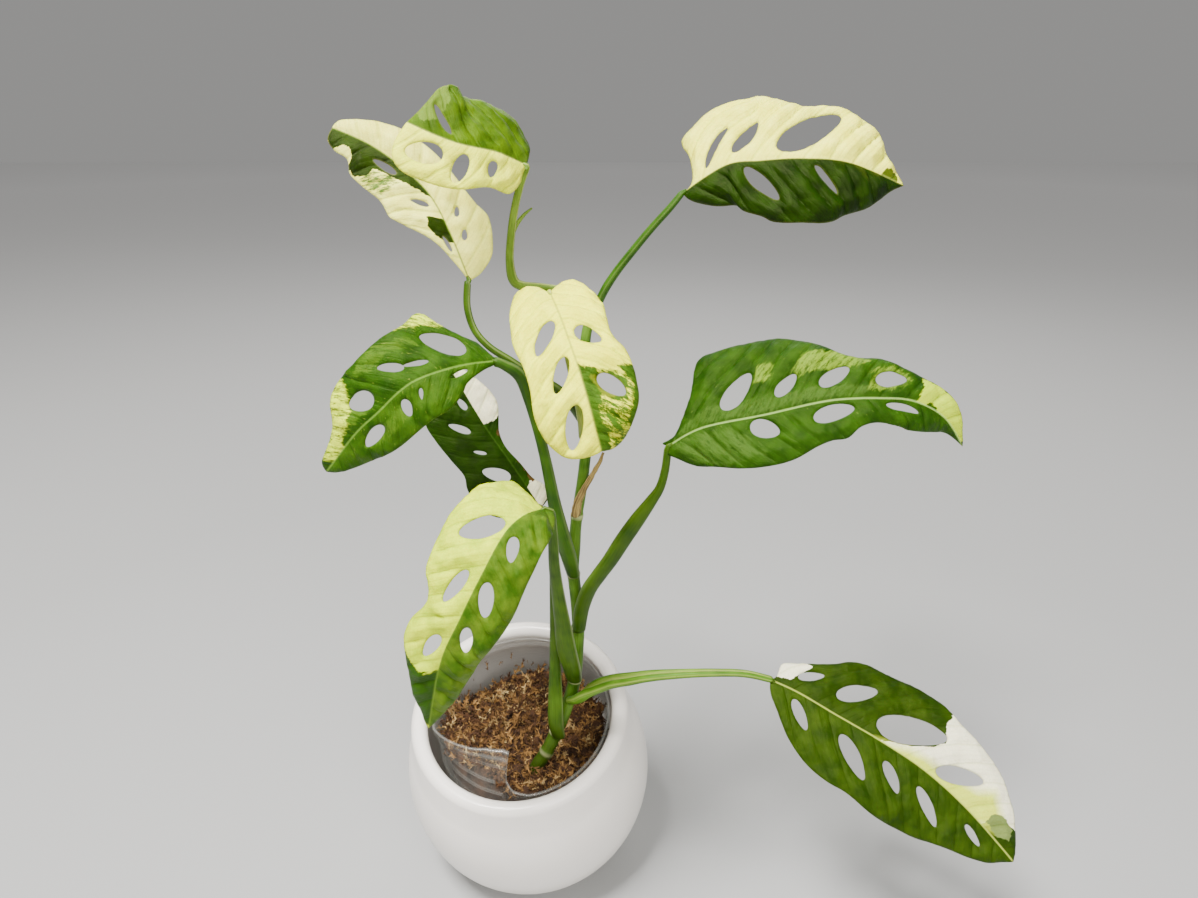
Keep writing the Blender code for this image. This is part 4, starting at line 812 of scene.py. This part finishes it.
leaves["right"] = {
    "midrib": [(67, -44, 265), (80, -49, 275), (104, -55, 283), (128, -58, 290), (148, -58, 291),
        (162, -56, 289), (176, -53, 281), (187, -49.5, 267)],
    "face": [(-0.1, -0.75, 0.6), (-0.1, -0.75, 0.6)], "fold": (-5, -8), "bow": -1, "wave": (0.8, 60, 0.4),
    "spacing": 11, "seed": 10,
    "left": [(-2.5, 2.4), (4.5, 2.6), (11, 8.3), (15, 15), (17, 21), (19.5, 29.5), (26, 32.5), (40, 34),
        (52, 33.5), (60, 30.6), (70, 24.3), (76, 20), (82, 18), (91, 17.5), (100, 14.3), (107, 12),
        (114, 11.3), (121, 9.5), (128, 6)],
    "right": [(-2, 2.6), (0.5, 6), (5, 11.3), (10, 14.5), (20, 17), (30, 19.3), (40, 20.4), (50, 20),
        (60, 17), (67, 15.6), (74, 15.3), (80, 11.2), (87, 9.6), (96, 11), (103, 11.8), (112, 10), (120, 6.7),
        (127, 3)],
    "holes": [(33, 12.4, 19, 8.5, 47), (53.5, 10.5, 12.2, 6, 40), (72, 10.2, 13.4, 6.3, 30),
        (94, 8.4, 12.7, 6.3, 6), (42, -5.6, 11.8, 7.2, 28), (69.5, -4.9, 17, 6.4, -8),
        (98, -3.4, 15.5, 3, 5)],
    "leftTones": ("123300", "274903"), "rightTones": ("133401", "284B04"), "ribTone": "9CBE64",
    "ribShow": 0.6, "veinShow": 0.35, "marginTone": "486A24", "quilt": 1.1, "streak": ("85A03E", 0.64, 0.78),
    "marks": [
        # mark 0, the paler grey-green band along the midrib, is a painted sheen, not pigment
        ("385618", 3, [[(2, 0.3), (18, 7), (42, 7.5), (70, 6), (96, 3.5), (70, 1.6), (30, 0.8)], [(2, -1),
            (8, -12), (25, -17), (42, -15), (32, -4), (12, -1)]]),
        ("6E8A20", 3.2, [[(40, 14), (43, 21), (50, 21), (48, 14)], [(56, 13), (62, 22), (78, 21), (86, 16),
            (75, 12), (66, 14)], [(84, 3), (88, 12.5), (97, 13.5), (102, 9), (95, 4)]]),
        ("B6CF12", 2.2, [[(103, 1.5), (107, 11), (116, 11), (126, 8), (136, 2), (134, 0.4), (120, 0.6),
            (112, 2)]]),
    ],
}
leaves["lower_right"] = {
    "midrib": [(116, -54, 154), (128, -58, 150), (143, -65, 144), (162, -73, 136), (181, -81, 126),
        (199, -90, 112), (217, -101, 94)],
    "face": [(-0.1, -0.5, 0.85), (-0.1, -0.6, 0.75)], "fold": (-4, -6), "bow": -1, "wave": (0.8, 60, 0.4),
    "spacing": 11, "seed": 11,
    "left": [(2, 3), (2.8, 10), (9, 13.3), (16, 17.5), (22, 22), (28, 27), (36, 30.3), (50, 31.5), (60, 32.8),
        (67, 32.8), (75, 30.8), (82, 28.5), (92, 27), (100, 25), (107, 21.7), (113, 17.5), (119, 12.5),
        (124, 6.5)],
    "right": [(0.7, 3.2), (3, 7.5), (7, 11.5), (13, 16.7), (20, 20.8), (30, 25.4), (40, 27.6), (50, 27.5),
        (62, 29), (72, 28.6), (80, 27.3), (90, 25), (100, 20.5), (110, 16), (116, 12.7), (121, 9), (125, 4)],
    "holes": [(15.5, 10.2, 12, 4, 40), (36.7, 14.6, 20.5, 7.5, 38), (63.5, 12, 31.5, 12.5, 26),
        (89.5, 8.9, 22.5, 7.5, 33), (18, -8.3, 14.5, 5, 38), (45.7, -12.7, 21, 7, 35),
        (64.7, -11, 14.7, 5, 35), (85.5, -11.5, 19, 5, 24), (108.5, -6.2, 11, 3.2, 8)],
    "leftTones": ("162D00", "273D02"), "rightTones": ("183001", "2B4202"), "ribTone": "A8B44E",
    "ribShow": 0.7, "veinShow": 0.3, "marginTone": "4C5C24", "quilt": 0.8,
    "marks": [
        ("F1EDCC", 1.2, [[(1, 2.4), (2.4, 13), (9, 16), (14.5, 14.5), (12, 9), (8, 3.6)], [(48, 0.5),
            (58, 2.6), (66, 5.5), (74, 11), (78, 17), (75, 24), (76, 32), (86, 30.5), (100, 27), (110, 21),
            (118, 18), (124, 12), (119, 9.6), (112, 8), (109, 2.5), (106, 0.7), (80, 0.6)]]),
        ("C8D444", 0.6, [[(46, 0.4), (60, 1.2), (80, 1), (104, 1.2), (114, 3), (112, 9), (104, 15), (98, 9),
            (84, 5.5), (66, 4)]]),
        ("6C7C40", 1.6, [[(108, 2), (108.5, 7), (113, 9.6), (119, 9.6), (121, 4), (116, 1.7)]]),
    ],
}


def signedDistance(points, loop):  # millimetres inside a closed loop, negative outside it
    loop = np.asarray(loop, float)
    best, within = np.full(len(points), 1e9), np.zeros(len(points), bool)
    for a, b in zip(loop, np.roll(loop, -1, axis=0)):
        span = b - a
        share = np.clip(((points - a) @ span) / max(span @ span, 1e-12), 0, 1)
        best = np.minimum(best, np.hypot(*(points - a - share[:, None] * span).T))
        if a[1] != b[1]:
            crosses = (a[1] > points[:, 1]) != (b[1] > points[:, 1])
            within ^= crosses & (points[:, 0] < a[0] + (points[:, 1] - a[1]) * (b[0] - a[0]) / (b[1] - a[1]))
    return np.where(within, best, -best)


def bladeLine(leaf):  # the midrib as a dense line, drawn out straight past both of its ends
    line = roundedLine(leaf["midrib"], 12)
    line = np.vstack([line[0] + (line[0] - line[1]) * 40, line, line[-1] + (line[-1] - line[-2]) * 40])
    lengths = lengthsAlong(line)
    leaf["length"] = lengths[-2] - lengths[1]
    leaf["dense"] = (lengths - lengths[1], line)


def bladePlace(leaf, s, t):  # s along the midrib from the base, t across with the left half positive
    lengths, line = leaf["dense"]

    def onRib(at):
        return np.stack([np.interp(at, lengths, line[:, k]) for k in range(3)], 1)

    share = np.clip(s / leaf["length"], 0, 1)[:, None]
    ahead = unit(onRib(s + 1.5) - onRib(s - 1.5))
    look = np.array(leaf["face"][0]) * (1 - share) + np.array(leaf["face"][1]) * share
    up = unit(look - ahead * np.sum(look * ahead, axis=1, keepdims=True))
    left = np.cross(up, ahead)
    base, tip = leaf["fold"]
    fold = np.radians(base + (tip - base) * share[:, 0])
    reach = np.abs(t)
    edge = (reach / 22) ** 2
    height, length, start = leaf["wave"]
    wave = height * np.sin(math.tau * (s / length + start + np.where(t > 0, 0.5, 0))) * edge
    rise = reach * np.sin(fold) + leaf["bow"] * edge + wave
    return onRib(s) + left * (t * np.cos(fold))[:, None] + up * rise[:, None]


def bladeNormal(leaf, s, t):
    along = bladePlace(leaf, s + 0.7, t) - bladePlace(leaf, s - 0.7, t)
    across = bladePlace(leaf, s, t + 0.7) - bladePlace(leaf, s, t - 0.7)
    return unit(np.cross(along, across))


def holeLoop(hole, step):
    s, t, long, wide, lean = hole
    side = 1 if t > 0 else -1
    slope = math.radians(lean)
    along = np.array((math.cos(slope), side * math.sin(slope)))
    across = np.array((-along[1], along[0]))
    count = max(14, int(math.pi * (long + wide) / 2 / step))
    turns = np.arange(count) / count * math.tau
    x = np.cos(turns) * long / 2
    y = np.sin(turns) * wide / 2 * (1 - 0.18 * np.cos(turns))
    return np.array((s, t)) + x[:, None] * along + y[:, None] * across


def flatBlade(leaf, step):  # points (s, t), triangles with the holes left open, and how far inside points lie
    base, tip = (0.0, 0.0), (leaf["length"], 0.0)
    left = evenly(roundedLine([base] + leaf["left"] + [tip], 6), step)
    right = evenly(roundedLine([base] + [(s, -t) for s, t in leaf["right"]] + [tip], 6), step)
    outline = np.vstack([left[:-1], right[:0:-1]])
    holes = [holeLoop(h, step) for h in leaf["holes"]]

    def inset(points):
        outside = [-signedDistance(points, hole) for hole in holes]
        return np.min([signedDistance(points, outline), *outside], axis=0)

    low, high = outline.min(0), outline.max(0)
    rows = np.arange(-40, 40) * step * 0.87
    grid = np.array([(s + (0.5 * step if k % 2 else 0), t) for k, t in enumerate(rows) if low[1] < t < high[1]
                     for s in np.arange(low[0], high[0], step)])
    grid = grid[inset(grid) > 0.5 * step]
    coords, edges = [], []
    for loop in [outline] + holes:
        start = len(coords)
        coords += [Vector(p) for p in loop]
        edges += [(start + i, start + (i + 1) % len(loop)) for i in range(len(loop))]
    coords += [Vector(p) for p in grid]
    found = delaunay_2d_cdt(coords, edges, [], 1, 1e-5)
    flat, triangles = np.array([tuple(p) for p in found[0]]), np.array(found[2])
    triangles = triangles[inset(flat[triangles].mean(axis=1)) > 0]
    a, b, c = (flat[triangles[:, k]] for k in range(3))
    turn = (b - a)[:, 0] * (c - a)[:, 1] - (b - a)[:, 1] * (c - a)[:, 0]
    triangles[turn < 0] = triangles[turn < 0][:, ::-1]
    used, renumbered = np.unique(triangles, return_inverse=True)
    return flat[used], renumbered.reshape(-1, 3), np.maximum(inset(flat[used]), 0)


def bladeRelief(leaf, s, t, depth):  # quilting between the side veins, a groove over the midrib, unevenness
    reach = np.abs(t)
    level = s - veins["lean"] * reach - veins["bend"] * reach ** 2
    phase = level / leaf["spacing"] + np.where(t > 0, 0.0, veins["stagger"])
    quilt = relief["quilt"] * np.abs(np.sin(math.pi * phase)) ** 0.7
    quilt += relief["ripple"] * np.abs(np.sin(3 * math.pi * phase))
    lift = leaf["quilt"] * quilt * np.clip(reach / 6, 0, 1) * np.clip(depth / 5, 0, 1)
    lift -= relief["groove"] * np.exp(-(t / 0.8) ** 2)
    for height, size, seed in (relief["uneven"], relief["pucker"]):
        slow = [noise.noise(Vector((a / size, b / size, leaf["seed"] + seed))) for a, b in zip(s, t)]
        lift += height * np.array(slow) * np.clip(reach / 3, 0, 1)
    return lift


def markSide(loops):  # 1 or -1 where all of a mark lies on the left or the right half, else 0
    sides = [1 if sum(t for _, t in loop) > 0 else -1 for loop in loops]
    return sides[0] if len(set(sides)) == 1 else 0


def bladeMaterial(name, leaf):
    # Leathery living blade: satin cuticle, each half with its own ground, ragged sectors and splashes of
    # other tones, side veins every 9 to 11 mm darkened by their own colour and by painted shade in their
    # grooves, a paler back and a thin dark margin
    material, add = startMaterial(
        "living blade " + name, Specular_IOR_Level=0.17, Specular_Tint=hexColour(veins["sheen"]),
        Subsurface_Weight=0.08, Subsurface_Scale=0.0015)
    uv = add("UVMap", uv_map="surface")  # millimetres along and across
    s, t = add("SeparateXYZ", (uv,)), add("SeparateXYZ", (uv,), out=1)
    reach = add("Math", (t,), operation="ABSOLUTE")
    isLeft = add("Math", (t, 0.0), operation="GREATER_THAN")
    isRight = add("Math", (1.0, isLeft), operation="SUBTRACT")
    bent = add("Math", (reach, veins["bend"], veins["lean"]), operation="MULTIPLY_ADD")
    level = add("Math", (s, add("Math", (bent, reach), operation="MULTIPLY")), operation="SUBTRACT")
    across = add("Math", (t, 0.45), operation="MULTIPLY")
    drawn = add("CombineXYZ", (level, across))  # drawn out along the side veins
    cloud = add("TexNoise", (uv, 0.11, 4.0, 0.55))  # 9 mm
    clouds = add("MapRange", (cloud, 0.36, 0.64))
    splash = add("TexNoise", (drawn, 0.5, 6.0, 0.66))  # 2 mm
    wild = add("Math", (splash, 0.5), operation="SUBTRACT")
    grounds = [add("Mix", (clouds, *leaf[side]), data_type="RGBA") for side in ("rightTones", "leftTones")]
    colour = add("Mix", (isLeft, *grounds), data_type="RGBA")
    for i, (tone, ragged, loops) in enumerate(leaf["marks"]):
        soft = 2.6 if ragged < 0.8 else 0.1 + 0.35 * max(ragged - 1.6, 0)
        field = add("Attribute", out="Fac", attribute_name="mark%d" % i)
        edge = add("Math", (wild, ragged * 2.6, field), operation="MULTIPLY_ADD")
        shown = add("MapRange", (edge, -soft, soft))
        if markSide(loops):
            shown = add("Math", (shown, isLeft if markSide(loops) > 0 else isRight), operation="MULTIPLY")
        if ragged > 2.5:  # flecks of the ground show through
            flecks = add("MapRange", (add("TexNoise", (drawn, 0.42, 9.0, 0.82)), 0.43, 0.52, 0.1))
            shown = add("Math", (shown, flecks), operation="MULTIPLY")
        shade = leaf.get("markShade", {}).get(i, tone)
        sector = add("Mix", (clouds, tone, shade), data_type="RGBA")
        colour = add("Mix", (shown, colour, sector), data_type="RGBA")
    if "streak" in leaf:  # fine splashes of the other tone along the veins
        tone, low, high = leaf["streak"]
        shown = add("MapRange", (add("TexNoise", (drawn, 0.9, 5.0, 0.7)), low, high, 0.0, 0.8))
        colour = add("Mix", (shown, colour, tone), data_type="RGBA")
    spacing, stagger = leaf["spacing"], veins["stagger"] * leaf["spacing"]
    shifted = add("Math", (isLeft, -stagger, level), operation="MULTIPLY_ADD")
    wobble = add("Math", (cloud, 2.0, shifted), operation="MULTIPLY_ADD")
    lines = []
    for apart, width, shift in ((spacing, 0.75, stagger - 1.0), (spacing / 4, 0.4, 0.3)):
        moved = add("Math", (wobble, shift), operation="ADD")
        fromVein = add("Math", (moved, apart / 2), operation="PINGPONG")
        lines.append(add("MapRange", (fromVein, width * 0.3, width, 1.0, 0.0)))
    both = add("Math", (lines[1], 0.35, lines[0]), operation="MULTIPLY_ADD", use_clamp=True)
    # painted shade: the vein lines darken by the vein tone, partly the veins' colour and partly groove shade
    lit = add("Math", (both, leaf["veinShow"]), operation="MULTIPLY")
    colour = add("Mix", (lit, colour, veins["tone"]), data_type="RGBA", blend_type="MULTIPLY")
    mottle = add("MapRange", (add("TexNoise", (uv, 1.3, 3.0, 0.55)), 0.3, 0.7, 0.9, 1.08))
    colour = add("HueSaturation", {"Value": mottle, "Color": colour})
    inset, back = (add("Attribute", out="Fac", attribute_name=key) for key in ("inset", "back"))
    for share, code in ((add("MapRange", (reach, 0.15, 0.55, leaf["ribShow"], 0.0)), leaf["ribTone"]),
                        (add("MapRange", (inset, 0.1, 0.6, 0.25, 0.0)), leaf["marginTone"]),
                        (add("Math", (back, 0.2), operation="MULTIPLY"), veins["backTone"])):
        colour = add("Mix", (share, colour, code), data_type="RGBA")
    gloss = add("MapRange", (splash, 0.0, 1.0, 0.34, 0.54))
    pores = add("TexNoise", (uv, 2.4, 3.0, 0.6))  # 0.4 mm grain of the cuticle
    height = add("Math", (both, -0.5, pores), operation="MULTIPLY_ADD")
    bump = add("Bump", {"Height": height, "Strength": 0.5, "Distance": 0.0006})
    return finishMaterial(material, Base_Color=colour, Roughness=gloss, Normal=bump)


def buildBlade(name, leaf):
    bladeLine(leaf)
    flat, triangles, depth = flatBlade(leaf, 1.0)
    s, t = flat.T
    normal = bladeNormal(leaf, s, t)
    centre = bladePlace(leaf, s, t) + normal * bladeRelief(leaf, s, t, depth)[:, None]
    thick = relief["edge"] + relief["middle"] * np.clip(depth / 1.2, 0, 1) ** 0.5
    rib = relief["rib"] * np.exp(-(t / 1.6) ** 2) * np.clip(1 - s / leaf["length"], 0, 1)
    top, bottom = centre + normal * thick[:, None], centre - normal * (thick + rib)[:, None]
    count = len(flat)
    faces = [tuple(f) for f in triangles] + [tuple(i + count for i in f[::-1]) for f in triangles]
    sides = {(f[k], f[(k + 1) % 3]) for f in triangles.tolist() for k in range(3)}
    faces += [(a, a + count, b + count, b) for a, b in sides if (b, a) not in sides]
    fields = {"inset": np.r_[depth, depth], "back": np.repeat([0, 1], count)}
    for i, (_, _, loops) in enumerate(leaf["marks"]):
        side = markSide(loops)
        if side:  # its edge along the midrib is moved past it, and the material cuts it off there
            loops = [[(a, b if abs(b) > 1.6 else -3 * side) for a, b in loop] for loop in loops]
        field = np.max([signedDistance(flat, loop) for loop in loops], axis=0)
        fields["mark%d" % i] = np.tile(np.maximum(field, -12), 2)
    place(makePiece("blade_" + name, np.vstack([top, bottom]), faces, bladeMaterial(name, leaf),
                    uv=np.vstack([flat, flat]), fields=fields), "leaf_" + name)


# Studio: a floor in metres, three soft lights (place, size, watts) and the camera that took the photo's view
studio = {
    "floorReach": 4, "floorTones": ("A6A7A7", "EEEEEE"), "worldTone": "D6D5D3", "worldStrength": 0.45,
    "lights": {"key": ((-0.35, -0.5, 1.5), 0.4, 63.0), "fill": ((0.35, -1.05, 0.85), 0.7, 15.0),
               "back": ((0.2, 0.9, 1.0), 0.9, 6.0)},
    "lightColour": (1.0, 0.975, 0.94), "lightAim": (0.04, -0.03, 0.18),
    "camera": (0.038, -0.389, 0.41), "cameraTilt": 67, "focalPixels": 900, "widthPixels": 1198,
}


def buildStage():
    far = studio["floorReach"]
    mesh = bpy.data.meshes.new("floor")
    mesh.from_pydata([(-far, -far, 0), (far, -far, 0), (far, far, 0), (-far, far, 0)], [], [(0, 1, 2, 3)])
    # Pale matt studio floor, lighter far off so that its edge melts into the backdrop
    material, add = startMaterial("pale matt studio floor", Roughness=0.85)
    away = add("VectorMath", (add("TexCoord", out="Object"),), operation="LENGTH")
    tone = add("Mix", (add("MapRange", (away, 0.5, 3.6)), *studio["floorTones"]), data_type="RGBA")
    mesh.materials.append(finishMaterial(material, Base_Color=tone))
    addObject("floor", mesh)
    world = bpy.data.worlds.new("soft studio")
    bpy.context.scene.world = world
    world.use_nodes = True
    backdrop = world.node_tree.nodes["Background"].inputs
    backdrop["Color"].default_value = hexColour(studio["worldTone"])
    backdrop["Strength"].default_value = studio["worldStrength"]
    for name, (spot, size, power) in studio["lights"].items():
        light = bpy.data.lights.new(name, "AREA")
        light.size, light.energy, light.color = size, power, studio["lightColour"]
        lamp = addObject(name, light)
        lamp.location = spot
        lamp.rotation_euler = (Vector(studio["lightAim"]) - Vector(spot)).to_track_quat("-Z", "Y").to_euler()
    camera = bpy.data.cameras.new("camera")
    camera.sensor_width = 36.0
    camera.lens = camera.sensor_width * studio["focalPixels"] / studio["widthPixels"]
    camera.clip_start = 0.01
    seen = addObject("camera", camera)
    seen.location = studio["camera"]
    seen.rotation_euler = (math.radians(studio["cameraTilt"]), 0, 0)
    bpy.context.scene.camera = seen
    print("studio", len(studio["lights"]), "lights")


buildPot()
buildCup()
buildMoss()
buildStem()
buildDriedSheath()
for name, petiole in petioles.items():
    buildPetiole(name, petiole)
for name, leaf in leaves.items():
    buildBlade(name, leaf)
buildStage()
